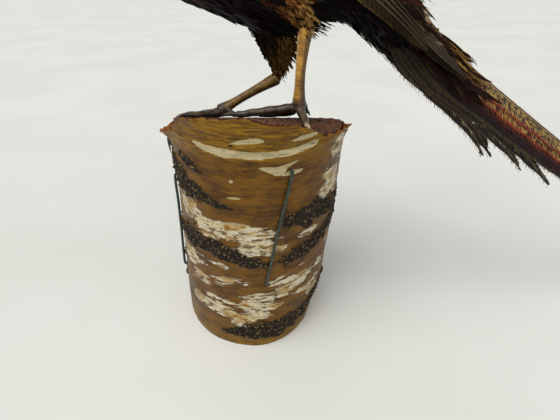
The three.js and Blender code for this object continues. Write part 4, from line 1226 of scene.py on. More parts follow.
def vanes(name, roots, look, lie, material, lift=3.2, splay=7.0, seed=1, fray=0.05, across=VANE_COLUMNS):
    """One piece of many feathers, each a thin curved vane that follows the skin."""
    rng = np.random.default_rng(seed)
    count, rows, columns = len(roots), len(VANE_ROWS), len(across)
    length = look["length"] * rng.uniform(0.86, 1.14, count)
    width = look["width"] * rng.uniform(0.88, 1.12, count)
    under = look["under"]
    place, normal = hug(roots, under)
    upright = 0.92 * smooth(270, 320, look["along"])[:, None]
    main = look["ahead"]
    keep = lambda n: n - main * np.einsum("ij,ij->i", n, main)[:, None] * upright
    normal = unit(keep(normal) + 1e-3 * normal)
    turn = np.radians(rng.normal(0, splay, count) * (1 + look["fluff"]))
    ahead = unit(lie - normal * np.einsum("ij,ij->i", lie, normal)[:, None])
    side = np.cross(normal, ahead)
    ahead = ahead * np.cos(turn)[:, None] + side * np.sin(turn)[:, None]
    lines, normals, aheads = [place], [normal], [ahead]
    for step in np.diff(VANE_ROWS):
        target = lines[-1] + aheads[-1] * (length * step)[:, None]
        at, up = hug(target, under)
        gap = np.linalg.norm(target - at, axis=1)
        up = keep(up)
        weak = 1 - np.linalg.norm(up, axis=1) ** 2
        loose = np.clip(np.maximum(gap / 6, weak), 0, 1)[:, None]
        up = unit(up * (1 - loose) + normals[-1] * loose)
        at = at * (1 - loose) + target * loose
        up = unit(0.5 * up + 0.5 * normals[-1])
        onward = aheads[-1] - up * np.einsum("ij,ij->i", aheads[-1], up)[:, None]
        lines.append(at)
        normals.append(up)
        aheads.append(unit(onward))
    line, up, onward = (np.stack(values, 1) for values in (lines, normals, aheads))
    lane = rng.uniform(0, 0.7, count)
    curl = rng.normal(0, 0.35, count) * (1 + look["fluff"])
    v = VANE_ROWS[None, :]
    height = LIE * lift * (0.12 + 0.88 * v ** 0.8) + lane[:, None] * v + curl[:, None] * v ** 3
    height = height * (0.55 + 0.45 * np.minimum(1, look["length"] / 22))[:, None]
    half = width[:, None] / 2 * VANE_WIDTHS
    u = across
    side = np.cross(up, onward)
    bow = (0.1 * width)[:, None, None] * u ** 2
    jag = rng.normal(0, fray, (count, rows, columns)) * length[:, None, None]
    jag *= smooth(0.5, 1, VANE_ROWS)[None, :, None]
    sweep = (0.06 * length)[:, None, None] * (1 - u ** 2) * smooth(0.6, 1, VANE_ROWS)[None, :, None]
    points = (line[:, :, None] + side[:, :, None] * (half[..., None] * u)[..., None] + up[:, :,
            None] * (height[..., None] - bow)[..., None] + onward[:, :, None] * (jag + sweep)[..., None])
    return vane_piece(name, points, look, material, length, width, rng, across)


def vane_piece(name, points, look, material, length, width, rng, across):
    """A mesh of many vanes from their points, with their markings and their bake patches."""
    count, rows, columns, _ = points.shape
    cell = grid_faces(rows, columns, closed=False)
    faces = (cell[None] + (np.arange(count) * rows * columns)[:, None, None]).reshape(-1, 4)
    shape = (count, rows, columns)
    u = np.broadcast_to(across, shape).ravel()
    v = np.broadcast_to(np.linspace(0, 1, rows)[:, None] if rows != len(VANE_ROWS) else VANE_ROWS[:,
            None], shape).ravel()
    each = lambda values: np.repeat(values, rows * columns, axis=0)
    chance = each(rng.random(count))
    fields = {
        "ground": each(look["ground"]), "border": each(look["border"]),
        "quill": np.stack([u, v, chance], -1),
        "marks": np.stack([each(look["edge"]), each(look["bars"]), each(look["fluff"])], -1),
        "size": np.stack([each(width), each(length), 0 * u], -1),
    }
    made = build(name, points.reshape(-1, 3), [faces], material, fields)
    chart = each(look["chart"])
    local = chart + np.stack([u * PATCH / 2, (v - 0.5) * PATCH], -1)
    layer = made.data.uv_layers.new(name="OFBake")
    layer.data.foreach_set("uv", local[faces.ravel()].astype(np.float32).ravel())
    return made


def charts(points, look):
    """Where each root lies on an unwrap of the skin: round the body, and down its length."""
    around = (np.pi / 2 - look["angle"]) / np.pi * np.sign(points[:, 0])
    down = look["along"] / 560
    for side, line in THIGH_LINES.items():
        here = look["name"] == side
        reach, _, offset = along_line(points, line)
        around = np.where(here, np.arctan2(offset[:, 0], -offset[:, 1]) / np.pi, around)
        down = np.where(here, reach / 560, down)
    return np.column_stack([0.5 + 0.48 * around, 0.02 + 0.96 * np.clip(down, 0, 1)])


def skin_material():
    """Bird skin under down: matt, and tinted as the feathers over it but darker, partly dusky down and partly
    painted shade under the coat.
    """
    made, add, shader, place = new_material("skin_downy_painted_shade")
    ground = add("tint", attribute_name="ground")
    down = add("noise", add("scaled", place, per(2.5)), 1.0, 3, 0.5)
    # The feathers' own colour darkened: dusky down and painted shade under the coat.
    colour = add("mix", 0.65, ground, linear("#1a130e"))
    colour = add("mix", add("range", down, 0.4, 0.7, 0, 0.5), colour, ground)
    set_input(shader, "Base Color", colour)
    set_input(shader, "Roughness", 0.9)
    set_input(shader, "Normal", add("bump", down, 1.0 * MM, 0.8))
    return made


def vane_material(name, roughness, gloss=0.3, metallic=0.0, barb=1.0, tip=0.0):
    """Feather vane: fine slanting barbs either side of a thin shaft, a dark border and faint bars."""
    made, add, shader, place = new_material(name)
    ground = add("tint", attribute_name="ground")
    border = add("tint", attribute_name="border")
    u, v, chance = add("split", add("triple", attribute_name="quill"))
    edge, bars, _ = add("split", add("triple", attribute_name="marks"))
    wide, long, _ = add("split", add("triple", attribute_name="size"))
    outer = add("ABSOLUTE", u)
    down = add("MULTIPLY", v, long)
    out = add("MULTIPLY", add("MULTIPLY", outer, wide), 0.5)
    slant = add("SUBTRACT", down, add("MULTIPLY", out, 1.1))
    stripes = add("SINE", add("MULTIPLY", slant, 2 * math.pi / (0.9 * barb)))
    stripes = add("MULTIPLY_ADD", stripes, 0.5, 0.5)
    ragged = add("noise", add("scaled", place, per(3.0)), 1.0, 4, 0.6)
    shaded = add("mix", add("range", ragged, 0.35, 0.7, 0, 0.5), ground, add("shift", ground, 0.55, 1.0))
    lighter = add("shift", shaded, 1.45, 0.92)
    colour = add("mix", add("MULTIPLY", stripes, 0.5), shaded, lighter)
    wander = add("range", add("noise", add("scaled", place, per(6.0)), 1.0, 2, 0.5), 0.3, 0.7, -1.5, 1.5)
    phase = add("ADD", wander, add("MULTIPLY", chance, 6.0))
    wave = add("SINE", add("ADD", add("MULTIPLY", slant, 1.2), phase))
    bar = add("MULTIPLY", add("range", wave, 0.35, 0.75), bars)
    colour = add("mix", bar, colour, border)
    reach = add("MAXIMUM", v, add("MULTIPLY_ADD", outer, 0.52, 0.42))
    reach = add("ADD", reach, add("range", ragged, 0.3, 0.7, -0.05, 0.05))
    inner = add("SUBTRACT", 1.0, edge)
    rim = add("range", add("SUBTRACT", reach, inner), -0.05, 0.05)
    colour = add("mix", rim, colour, border)
    shaft = add("range", add("MULTIPLY", outer, wide), 0.5, 0.2)
    shaft = add("MULTIPLY", shaft, add("range", v, 0.85, 0.3, 0, 0.55))
    pale = add("shift", ground, 2.0, 0.7)
    colour = add("mix", shaft, colour, pale)
    root = add("MULTIPLY", add("range", v, 0.4, 0.1), 0.7)
    colour = add("mix", root, colour, linear("#191310"))
    colour = add("mix", add("range", v, 0.3, 0.9, 0, tip), colour, linear("#120c08"))
    tone = add("range", chance, 0.0, 1.0, 0.72, 1.25)
    toned = add("shift", colour, tone)
    set_input(shader, "Base Color", toned)
    set_input(shader, "Roughness", roughness)
    set_input(shader, "Metallic", metallic)
    set_input(shader, "Specular IOR Level", gloss)
    set_input(shader, "Normal", add("bump", add("ADD", stripes, add("MULTIPLY", ragged, 1.2)), 0.25 * MM,
                                    0.6))
    return made


def build_coat():
    """The small feathers of the whole body, laid on the skin from root to tip."""
    points, look = scatter(lambda look, p: np.where(in_tail_slot(p), 1e9, look["spacing"]), SEED)
    look["chart"] = charts(points, look)
    lie = lie_of_coat(points, look)
    bare = bare_face(points)
    name, along = look["name"], look["along"]
    head = name == "head"
    on_neck = (along < 122) & ~head & ~bare
    front = (along < 232) & ~on_neck & ~head & ~np.char.startswith(name, "thigh")
    rear = ~on_neck & ~head & ~np.char.startswith(name, "thigh") & ~front
    contour = vane_material("feathers_contour", 0.55, 0.06)
    glossy = vane_material("feathers_iridescent", 0.34, 0.5, metallic=0.45, barb=0.8)
    downy = vane_material("feathers_downy", 0.7, 0.05, barb=1.3)
    groups = [
        ("coat_head", head & ~bare, glossy, 1.7, "head_plumage", 0.05, VANE_COLUMNS),
        ("coat_neck", on_neck, glossy, 2.4, "neck_plumage", 0.05, VANE_COLUMNS),
        ("coat_breast", front, contour, 3.3, "body_plumage", 0.04, VANE_COLUMNS),
        ("coat_rear", rear, contour, 3.4, "rump_plumage", 0.08, VANE_COLUMNS),
        ("coat_thigh_left", name == "thigh_left", downy, 3.4, "thigh_plumage", 0.1, HAIR_COLUMNS),
        ("coat_thigh_right", name == "thigh_right", downy, 3.4, "thigh_plumage", 0.1, HAIR_COLUMNS),
    ]
    for index, (title, use, material, lift, slot, fray, across) in enumerate(groups):
        part = {key: value[use] for key, value in look.items()}
        made = vanes(title, points[use], part, lie[use], material, lift=lift, seed=SEED + index,
                     fray=fray, across=across)
        finish(made, slot)


def in_tail_slot(points):
    """True on the walls of the slot that the tail's roots fill, and at the very end of the rump."""
    line = curve(TAIL_PATH, np.linspace(0, 1, 60))
    along, ahead, offset = along_line(points * [0, 1, 1], line)
    up = np.stack([0 * along, -ahead[:, 2], ahead[:, 1]], -1)
    wide = np.minimum(np.abs(points[:, 0]), 60)
    inner = np.minimum(wide, TAIL_RIDGE * math.sin(TAIL_SIDE))
    fall = TAIL_RIDGE - np.sqrt(TAIL_RIDGE ** 2 - inner ** 2) + (wide - inner) * math.tan(TAIL_SIDE)
    below = -np.einsum("ij,ij->i", offset, up) - fall
    return ((below > -1.5) & (below < 30) & (along > 10) & (wide < 34)) | (points[:, 1] > 186)


def bare_face(points):
    """True where the bare red skin or the eye lies, so that no feather grows there."""
    local = points - HEAD_PLACE
    c, s = math.cos(-HEAD_TILT), math.sin(-HEAD_TILT)
    y = local[:, 1] * c - local[:, 2] * s
    z = local[:, 1] * s + local[:, 2] * c
    inside = ((y + 4) / 16.5) ** 2 + ((z + 1.5) / 15.5) ** 2 < 1
    return inside & (np.abs(local[:, 0]) > 6) & (np.abs(y) < 30)


# ---------------------------------------------------------------- tail

TAIL_PATH = [(0, 96, 362), (0, 133, 341), (0, 180, 311), (0, 250, 266), (0, 340, 209), (0, 430, 156),
             (0, 512, 110)]
TAIL_RIDGE = 24.0
TAIL_SIDE = math.radians(70)
TAIL_PITCH = 2.05
# Each pair of tail feathers from the middle out: length, half width, distance from the ridge, layer.
TAIL_PAIRS = [(470, 18, 8, 0), (455, 17.6, 14, 1.1), (437, 17.4, 19, 2), (411, 17, 24, 2.5),
              (385, 17, 29, 3),
              (331, 16, 34, 3.5), (277, 15.5, 38, 4), (232, 14.5, 41.5, 4.6), (188, 13.5, 45, 5.2)]


def tail_point(along, across, depth):
    """Points of the roof-shaped tail at distances along its ridge, across it and under it."""
    along, across, depth = np.broadcast_arrays(*(np.asarray(v, float) for v in (along, across, depth)))
    shares = np.linspace(0, 1, 400)
    dense = curve(TAIL_PATH, shares)
    run = np.append(0, np.cumsum(np.linalg.norm(np.diff(dense, axis=0), axis=1)))
    heading = np.gradient(dense, axis=0)
    flat = along.ravel()
    beyond = np.maximum(0, flat - run[-1])
    centre = np.stack([np.interp(flat, run, dense[:, i]) for i in range(3)], -1)
    ahead = unit(np.stack([np.interp(flat, run, heading[:, i]) for i in range(3)], -1))
    centre = centre + ahead * beyond[:, None]
    up = np.stack([0 * flat, -ahead[:, 2], ahead[:, 1]], -1)
    wide, deep = across.ravel(), depth.ravel()
    angle = np.minimum(np.abs(wide) / TAIL_RIDGE, TAIL_SIDE)
    radius = TAIL_RIDGE - deep
    slope = np.abs(wide) - angle * TAIL_RIDGE
    fall = TAIL_RIDGE - radius * np.cos(angle) + slope * np.sin(angle)
    points = centre - up * fall[:, None]
    points[:, 0] += np.sign(wide) * (radius * np.sin(angle) + slope * np.cos(angle))
    return points.reshape(*along.shape, 3)


def tail_material():
    """Tail vane: buff finely barred and mottled with black, hairy chestnut edges, a horn-pale shaft."""
    made, add, shader, _ = new_material("feathers_tail_barred")
    ground = add("tint", attribute_name="ground")
    border = add("tint", attribute_name="border")
    u, v, chance = add("split", add("triple", attribute_name="quill"))
    fringe, mottle, dusk = add("split", add("triple", attribute_name="marks"))
    wide, long, _ = add("split", add("triple", attribute_name="size"))
    outer = add("ABSOLUTE", u)
    down = add("MULTIPLY", v, long)
    out = add("MULTIPLY", u, add("MULTIPLY", wide, 0.5))
    reach = add("ABSOLUTE", out)
    slant = add("SUBTRACT", down, add("MULTIPLY", reach, 0.9))
    flat = add("join", out, slant, add("MULTIPLY", chance, 90.0))

    cloud = add("noise", add("scaled", flat, (1 / 9, 1 / 9, 1)), 1.0, 2, 0.55)
    speck = add("noise", add("scaled", flat, (1 / 4.6, 1 / 2.3, 1)), 1.0, 3, 0.65)
    fine = add("noise", add("scaled", flat, (1 / 5.0, 1 / 0.45, 1)), 1.0, 2, 0.55)
    body = add("mix", add("range", cloud, 0.4, 0.65, 0, 0.6), ground, add("shift", ground, 0.55))
    body = add("mix", add("range", fine, 0.45, 0.65, 0, 0.4), body, add("shift", ground, 1.5))
    wander = add("range", cloud, 0.3, 0.7, -1.6, 1.6)
    wave = add("SINE", add("ADD", add("MULTIPLY", slant, 2 * math.pi / 17), wander))
    bar = add("range", add("ADD", wave, add("range", speck, 0.3, 0.7, -0.6, 0.6)), 0.6, 0.85)
    dots = add("range", speck, 0.475, 0.515)
    black = add("MAXIMUM", add("MULTIPLY", bar, 0.96), add("MULTIPLY", dots, mottle))
    body = add("mix", black, body, settings("tail").bars)
    edge = add("ADD", outer, add("range", add("noise", add("scaled", flat, (1 / 7, 1 / 1.0, 1)), 1.0, 2,
                                              0.55), 0.3, 0.7, -0.12, 0.12))
    rim = add("range", add("ADD", edge, fringe), 0.97, 1.07)
    hair = add("noise", add("scaled", flat, (1 / 12, 1 / 0.5, 1)), 1.0, 2, 0.55)
    border = add("mix", add("MULTIPLY", add("range", down, 190.0, 110.0),
                            add("range", fringe, 0.15, 0.2)), border, linear("#2e0c1c"))
    red = add("mix", add("range", hair, 0.4, 0.66), border, add("shift", border, 1.5))
    body = add("mix", rim, body, red)
    spot = add("MULTIPLY", add("range", wave, 0.45, 0.8), add("range", speck, 0.5, 0.56))
    near_shaft = add("range", outer, 0.62, 0.4)
    spot = add("MULTIPLY", spot, near_shaft)
    night = add("mix", add("MULTIPLY", spot, 0.8), linear("#0b0705"), linear("#a08e68"))
    night = add("mix", add("range", edge, 0.84, 0.97, 0, 0.75), night, border)
    body = add("mix", dusk, body, night)
    shaft = add("range", reach, 1.3, 0.7)
    body = add("mix", add("MULTIPLY", shaft, 0.8), body, settings("tail").shaft)
    set_input(shader, "Base Color", body)
    set_input(shader, "Roughness", 0.48)
    set_input(shader, "Specular IOR Level", 0.3)
    stripes = add("SINE", add("MULTIPLY", slant, 2 * math.pi / 0.9))
    set_input(shader, "Normal", add("bump", add("ADD", stripes, fine), 0.2 * MM, 0.5))
    return made


def quill_material():
    """Feather shaft: smooth pale horn that browns towards the tip."""
    made, add, shader, place = new_material("quill_horn")
    tip = add("value", attribute_name="tip")
    streak = add("noise", add("scaled", place, per(6)), 1.0, 3, 0.5)
    colour = add("mix", add("range", streak, 0.35, 0.65), linear("#8d7544"), linear("#b09a68"))
    colour = add("mix", tip, colour, linear("#2f2014"))
    set_input(shader, "Base Color", colour)
    set_input(shader, "Roughness", 0.35)
    set_input(shader, "Normal", add("bump", streak, 0.1 * MM, 0.5))
    return made


def long_vane(line, up, side, half, rng, columns=9, camber=0.1, ragged=0.5, splits=3):
    """The grid of one long feather: its middle line, upward and sideways directions and half widths."""
    rows = len(line)
    u = np.linspace(-1, 1, columns)
    v = np.linspace(0, 1, rows)
    wave = fractal(np.stack([v * 60, 0 * v, 0 * v + rng.random() * 50], -1), 1.5, 3,
                   seed=int(rng.integers(99)))
    nick = np.zeros((rows, columns))
    nick += ragged * wave[:, None] * np.abs(u) ** 3
    for _ in range(splits):
        row = int(rng.uniform(0.25, 0.95) * rows)
        where = 1 if rng.random() < 0.5 else -1
        nick[row] -= rng.uniform(1.5, 4.5) * np.clip(u * where, 0, 1) ** 2
    reach = half[:, None] * u + np.sign(u) * nick
    bow = camber * half[:, None] * u ** 2
    return line[:, None] + side[:, None] * reach[..., None] - up[:, None] * bow[..., None]


def fringe_of(grid, every, length, rng, droop=0.0):
    """Loose hair-thin barbs along both edges of a long vane, as points, faces and their rows."""
    rows = len(grid)
    points, where = [], []
    middle = grid[:, grid.shape[1] // 2]
    onward = unit(np.gradient(middle, axis=0))
    reach = np.append(0, np.cumsum(np.linalg.norm(np.diff(middle, axis=0), axis=1)))
    for edge in (0, -1):
        out = unit(grid[:, edge] - middle)
        lift = unit(np.cross(out, onward)) * (1 if edge == 0 else -1)
        for place in np.arange(every, reach[-1] * 0.985, every):
            row = min(np.interp(place + rng.normal(0, 0.4) * every, reach, np.arange(rows)), rows - 1.001)
            i, f = int(row), row - int(row)
            root = grid[i, edge] * (1 - f) + grid[i + 1, edge] * f
            inward = root - out[i] * 1.2
            size = length * rng.uniform(0.55, 1.25)
            tip = root + out[i] * size * 0.42 + onward[i] * size * 0.9 + lift[i] * rng.normal(0, 0.9)
            tip[2] -= droop * size * rng.random()
            knee = (root + tip) / 2 + out[i] * size * 0.1
            wide = onward[i] * 0.32
            points += [inward - wide, inward + wide, knee - wide * 0.7, knee + wide * 0.7, tip]
            where.append((row / rows, 1.0 if edge else -1.0))
    points = np.array(points)
    start = np.arange(len(where))[:, None] * 5
    quads = start + np.array([[0, 1, 3, 2]])
    tips = start + np.array([[2, 3, 4]])
    return points, [quads, tips], np.repeat(np.array(where), 5, axis=0)


def shaft_of(line, up, start, end, sides=6):
    """A thin tapering quill under a feather's middle line, closed at both ends."""
    rows = len(line)
    size = np.linspace(start, end, rows)
    onward = unit(np.gradient(line, axis=0))
    side = np.cross(up, onward)
    angle = np.linspace(0, 2 * math.pi, sides, endpoint=False)
    ring = side[:, None] * np.cos(angle)[None, :, None] + up[:, None] * np.sin(angle)[None, :, None]
    grid = line[:, None] + ring * size[:, None, None]
    points, faces = capped(grid, line[0], line[-1])
    return points, outward(points, faces), np.append(np.repeat(np.linspace(0, 1, rows), sides), [0, 1])


def long_piece(name, feathers, material, slot, nodes=()):
    """Joins long feathers, each given as grid, colours and marks, into one piece with its bake map."""
    parts = []
    for grid, look, fringe in feathers:
        rows, columns, _ = grid.shape
        v, u = np.meshgrid(np.linspace(0, 1, rows), np.linspace(-1, 1, columns), indexing="ij")
        sets = [(grid.reshape(-1, 3), [grid_faces(rows, columns, closed=False)], v.ravel(), u.ravel())]
        if fringe is not None:
            sets.append((fringe[0], fringe[1], fringe[2][:, 0], fringe[2][:, 1]))
        for points, faces, down, out in sets:
            count = len(points)
            full = lambda value: np.tile(np.asarray(value, float), (count, 1))
            fields = {
                "ground": full(look["ground"]), "border": full(look["border"]),
                "quill": np.stack([out, down, np.full(count, look["chance"])], -1),
                "marks": full(look["marks"]), "size": full((look["width"], look["length"], 0)),
                "patch": np.stack([look["chart"][0] + out * PATCH / 2,
                                   look["chart"][1] + (down - 0.5) * PATCH], -1),
            }
            parts.append((points, faces, fields))
    points, faces, fields = gather(parts)
    patch = fields.pop("patch")
    made = build(name, points, faces, material, fields)
    order = np.zeros(len(made.data.loops), np.int32)
    made.data.loops.foreach_get("vertex_index", order)
    layer = made.data.uv_layers.new(name="OFBake")
    layer.data.foreach_set("uv", patch[order].astype(np.float32).ravel())
    return finish(made, slot, *nodes)


def build_tail():
    rng = np.random.default_rng(SEED + 20)
    vane, horn = tail_material(), quill_material()
    quills = []
    for name, side in (("left", 1), ("right", -1)):
        feathers = []
        for index, (length, half_width, offset, layer) in enumerate(TAIL_PAIRS):
            rows = max(30, length // 6)
            share = np.linspace(0, 1, rows)
            along = 14 + share * (length - 14)
            gathered = 0.55 + 0.45 * smooth(0, 110, along)
            middle = side * offset * gathered + rng.normal(0,
                    0.5) + 1.2 * np.sin(share * 3 + rng.random() * 6)
            layer_here = (layer + (0.5 if side > 0 and index == 0 else 0)) * TAIL_PITCH
            sag = 3.5 * share ** 3 * rng.random() * (index > 0)
            loose = 16 * share ** 4 * (index > 5) * rng.uniform(0.6, 1.5)
            middle = middle + side * loose
            half = half_width * (0.45 + 0.55 * smooth(0, 0.3, share)) * np.sqrt(np.maximum(0,
                    1 - share ** 5))
            half = np.maximum(half * (1 - (0.25 if index < 5 else 0.72) * share), 0.6)
            u = np.linspace(-1, 1, 11)
            wave = fractal(np.stack([along, 0 * along, 0 * along + 40 * index + 7 * side], -1), 16, 3,
                           seed=81)
            reach = half[:, None] * u + np.sign(u) * (0.9 * wave[:, None]) * np.abs(u) ** 3
            for _ in range(4):
                row = int(rng.uniform(0.3, 0.97) * rows)
                reach[row] -= rng.uniform(2, 6) * np.clip(u * (1 if rng.random() < 0.5 else -1), 0,
                                                          1) ** 2 * np.sign(u)
            depth = layer_here + sag[:, None] + 0.9 * u ** 2 * share[:, None] ** 0.5 + 0.25
            grid = tail_point(along[:, None], middle[:, None] + reach, depth)
            central = index < 2
            dusk = 0.0 if central else min(1.0, 0.8 + 0.05 * index)
            ground = linear("#b08a44" if central else "#7a6236")
            border = linear("#702610" if central else "#3a0f16" if index < 4 else "#4e3c1c")
            look = {"ground": ground, "border": border, "chance": rng.random(),
                    "marks": (0.16 if central else 0.12, 1.0 if central else 0.8, dusk),
                    "width": 2 * half_width, "length": float(length),
                    "chart": (0.5 + side * (0.04 + 0.05 * index), 0.8)}
            fringe = fringe_of(grid, 1.7 if index < 3 else 2.6, 9.0 if index < 3 else 6.5, rng)
            feathers.append((grid, look, fringe))
            line = grid[:, 5] - unit(np.cross(grid[:, 6] - grid[:, 4],
                                              np.gradient(grid[:, 5], axis=0))) * 0.3
            across_line = unit(grid[:, 6] - grid[:, 4])
            up = unit(np.cross(across_line, unit(np.gradient(line, axis=0))))
            points, faces, tip = shaft_of(line[: int(rows * 0.97)], up[: int(rows * 0.97)], 1.35, 0.3)
            quills.append((points, faces, {"tip": 0.75 * tip}))
        nodes = [f"tail_feather_{name}_{i}" for i in range(1, 6)]
        long_piece(f"tail_vanes_{name}", feathers, vane, "tail_plumage", nodes)
    points, faces, fields = gather(quills)
    finish(build("tail_quills", points, faces, horn, fields), "tail_plumage")


# ---------------------------------------------------------------- wings

# Groups of folded wing feathers: name, count, start and end shares along the trunk, the lowest
# and highest angles at the start and at the end, width, lift, and their colours.
WING_GROUPS = [
    ("primaries", 7, (0.50, 0.54), (0.86, 0.93), (-8, 8), (22, 36), 13, (4.2, 5.6), "#150e09", "#6a5226",
     0.1),
    ("secondaries", 9, (0.44, 0.50), (0.70, 0.80), (-16, 46), (6, 44), 17, (6.2, 8.2), "#3a2a1a", "#8a6c38",
     0.3),
    ("tertials", 5, (0.40, 0.44), (0.68, 0.76), (38, 62), (34, 58), 25, (8.8, 10.4), "#80602f", "#4a2616",
     0.5),
]


def build_wings():
    """The folded flight feathers of both wings, each laid along the flank over the one behind it."""
    rng = np.random.default_rng(SEED + 40)
    vane, horn = vane_material("feathers_flight", 0.6, 0.05, barb=1.2, tip=0.85), quill_material()
    quills = []
    for name, side in (("left", 1), ("right", -1)):
        feathers = []
        for title, count, starts, ends, low, high, width, lifts, ground, border, bars in WING_GROUPS:
            for index in range(count):
                f = index / (count - 1)
                rows = 26
                share = np.linspace(0, 1, rows)
                t0, t1 = np.interp(f, (0, 1), starts), np.interp(f, (0, 1), ends[::-1])
                a0, a1 = np.interp(f, (0, 1), low), np.interp(f, (0, 1), high)
                t = t0 + (t1 - t0) * share
                angle = np.radians(a0 + (a1 - a0) * share + 3 * np.sin(np.pi * share) + rng.normal(0, 0.6))
                lift = np.interp(f, (0, 1), lifts) * (1 - 0.35 * share) + 0.6 * share
                line = trunk_point(t, angle, lift)
                raised = trunk_point(t, angle, lift + 2)
                up = unit(raised - line)
                onward = unit(np.gradient(line, axis=0))
                up = unit(up - onward * np.einsum("ij,ij->i", up, onward)[:, None])
                across_line = np.cross(up, onward)
                half = width / 2 * (0.6 + 0.4 * smooth(0, 0.2, share)) * np.sqrt(np.maximum(0.02,
                        1 - share ** 4))
                grid = long_vane(line, up, across_line, half, rng, columns=7, camber=0.16, ragged=0.4,
                                 splits=2)
                length = float(np.sum(np.linalg.norm(np.diff(line, axis=0), axis=1)))
                grid = grid * [side, 1, 1]
                if side < 0:
                    grid = grid[:, ::-1]
                look = {"ground": linear(ground), "border": linear(border), "chance": rng.random(),
                        "marks": (0.1, bars, 0.1), "width": float(width), "length": length,
                        "chart": (0.5 + side * (0.2 + 0.02 * index), 0.3 + 0.1 * len(title) / 10)}
                feathers.append((grid, look, None))
                points, faces, tip = shaft_of(line * [side, 1, 1], up * [side, 1, 1], 0.75, 0.25)
                quills.append((points, faces, {"tip": 0.4 + 0.6 * tip}))
        long_piece(f"wing_flight_vanes_{name}", feathers, vane, "wing_plumage")
    points, faces, fields = gather(quills)
    finish(build("wing_quills", points, faces, horn, fields), "wing_plumage")


# ---------------------------------------------------------------- head

EYE_PLACE = np.array([13.6, -7.5, 5.5])
EYE_RADIUS = 5.6
GAZE = np.array([0.96, -0.2, 0.2])
HEAD_PATH = [(0, 23, -3), (0, 14, -1), (0, 2, 0), (0, -10, 0.5), (0, -19, -0.5), (0, -24, -1.5)]
HEAD_RADII = [(10, 11, 10), (18, 19, 15.5), (22, 22, 18), (20.5, 20, 16.6), (14, 14, 12), (8, 9, 7.5)]
# The bare skin's outline on the level head, as y and z.
WATTLE_OUTLINE = [(-22, 1), (-18.5, 8.5), (-10.5, 13.6), (-1, 15.4), (7.4, 13.4), (11.6, 7), (10.4, -1),
                  (9.4, -8),
                  (4.6, -15.6), (-3, -20), (-10, -17.6), (-14.5, -11), (-18, -4.6)]
WATTLE_PITCH = 1.15
# Each half of the bill from root to tip: y, the ridge or keel, the mouth line, half width.
BILL_UPPER = [(-17, 6.2, -2.2, 5.2), (-24, 6.0, -2.5, 5.8), (-30, 4.9, -2.9, 5.2), (-36, 3.0, -3.6, 4.4),
              (-42, 0.2, -4.9, 3.4), (-47, -3.2, -6.8, 2.3), (-50.4, -6.6, -9.2, 1.2), (-52, -9.6, -10.6,
                      0.3)]
BILL_LOWER = [(-17, -8.0, -2.6, 4.6), (-25, -8.4, -2.8, 5.0), (-31, -8.4, -3.2, 4.5),
              (-37, -8.3, -4.0, 3.7),
              (-43, -8.6, -5.4, 2.6), (-48, -9.4, -7.6, 0.9)]
TUFT_LINE = [(8.6, 11, 14.5), (9.6, 18, 21), (10.4, 26, 27.5), (10.6, 33, 33.5)]


def eye_material():
    """Glass taxidermy eye: amber-brown iris with fine spokes, black pupil, clear shiny front."""
    made, add, shader, place = new_material("eye_glass_amber")
    ring = add("value", attribute_name="iris")
    spokes = add("noise", add("scaled", place, per(0.5)), 1.0, 3, 0.6)
    iris = add("mix", add("range", spokes, 0.35, 0.65), linear("#7a3408"), settings("face").iris)
    iris = add("mix", add("range", ring, 0.74, 0.9), iris, linear("#2a1206"))
    colour = add("mix", add("range", ring, 0.52, 0.58), linear("#030202"), iris)
    colour = add("mix", add("range", ring, 0.98, 1.05), colour, linear("#1a0f0a"))
    set_input(shader, "Base Color", colour)
    set_input(shader, "Roughness", 0.08)
    set_input(shader, "Coat Weight", 1.0)
    set_input(shader, "Coat Roughness", 0.02)
    return made


def wattle_material():
    """Bare facial skin: deep red with a velvety nap of tiny papillae and pale high points."""
    made, add, shader, place = new_material("wattle_papillate_red")
    knob = add("value", attribute_name="knob")
    blotch = add("noise", add("scaled", place, per(5)), 1.0, 3, 0.5)
    colour = add("mix", add("range", knob, 0.1, 0.9), linear("#6a0d0a"), settings("face").wattle)
    colour = add("mix", add("range", blotch, 0.5, 0.75, 0, 0.5), colour, linear("#8c1410"))
    set_input(shader, "Base Color", colour)
    set_input(shader, "Roughness", 0.55)
    set_input(shader, "Sheen Weight", 0.25)
    set_input(shader, "Subsurface Weight", 0.08)
    set_input(shader, "Subsurface Radius", (0.002, 0.0008, 0.0006))
    set_input(shader, "Normal", add("bump", add("noise", add("scaled", place, per(0.7)), 1.0, 2, 0.5),
                                    0.2 * MM, 0.7))
    return made


def bill_material():
    """Bill horn: pale greenish-buff keratin, greyer at the base, with fine growth lines, and nostrils painted
    near-black as shade in their hollows.
    """
    made, add, shader, place = new_material("bill_keratin_pale")
    base = add("value", attribute_name="base")
    hole = add("value", attribute_name="hole")
    lines = add("noise", add("scaled", place, per(1.8, 1, 0.4, 1)), 1.0, 3, 0.5)
    colour = add("mix", add("range", lines, 0.35, 0.65), linear("#b3a67c"), settings("face").bill)
    colour = add("mix", add("MULTIPLY", base, 0.75), colour, linear("#6f6a52"))
    # The nostril: painted near-black as shade in its hollow.
    colour = add("mix", hole, colour, linear("#17120e"))
    set_input(shader, "Base Color", colour)
    set_input(shader, "Roughness", 0.32)
    set_input(shader, "Normal", add("bump", lines, 0.2 * MM, 0.5))
    return made


def head_side(y, z):
    """How far out the level head's side is at places seen from the side."""
    shares = np.linspace(0, 1, 200)
    centre, size = curve(HEAD_PATH, shares)[::-1], curve(HEAD_RADII, shares)[::-1]
    middle, up, down, wide = (np.interp(y, centre[:, 1], values) for values in (centre[:, 2], size[:, 0],
            size[:, 1], size[:, 2]))
    rise = z - middle
    return wide * np.sqrt(np.clip(1 - (rise / np.where(rise > 0, up, down)) ** 2, 0.04, 1))


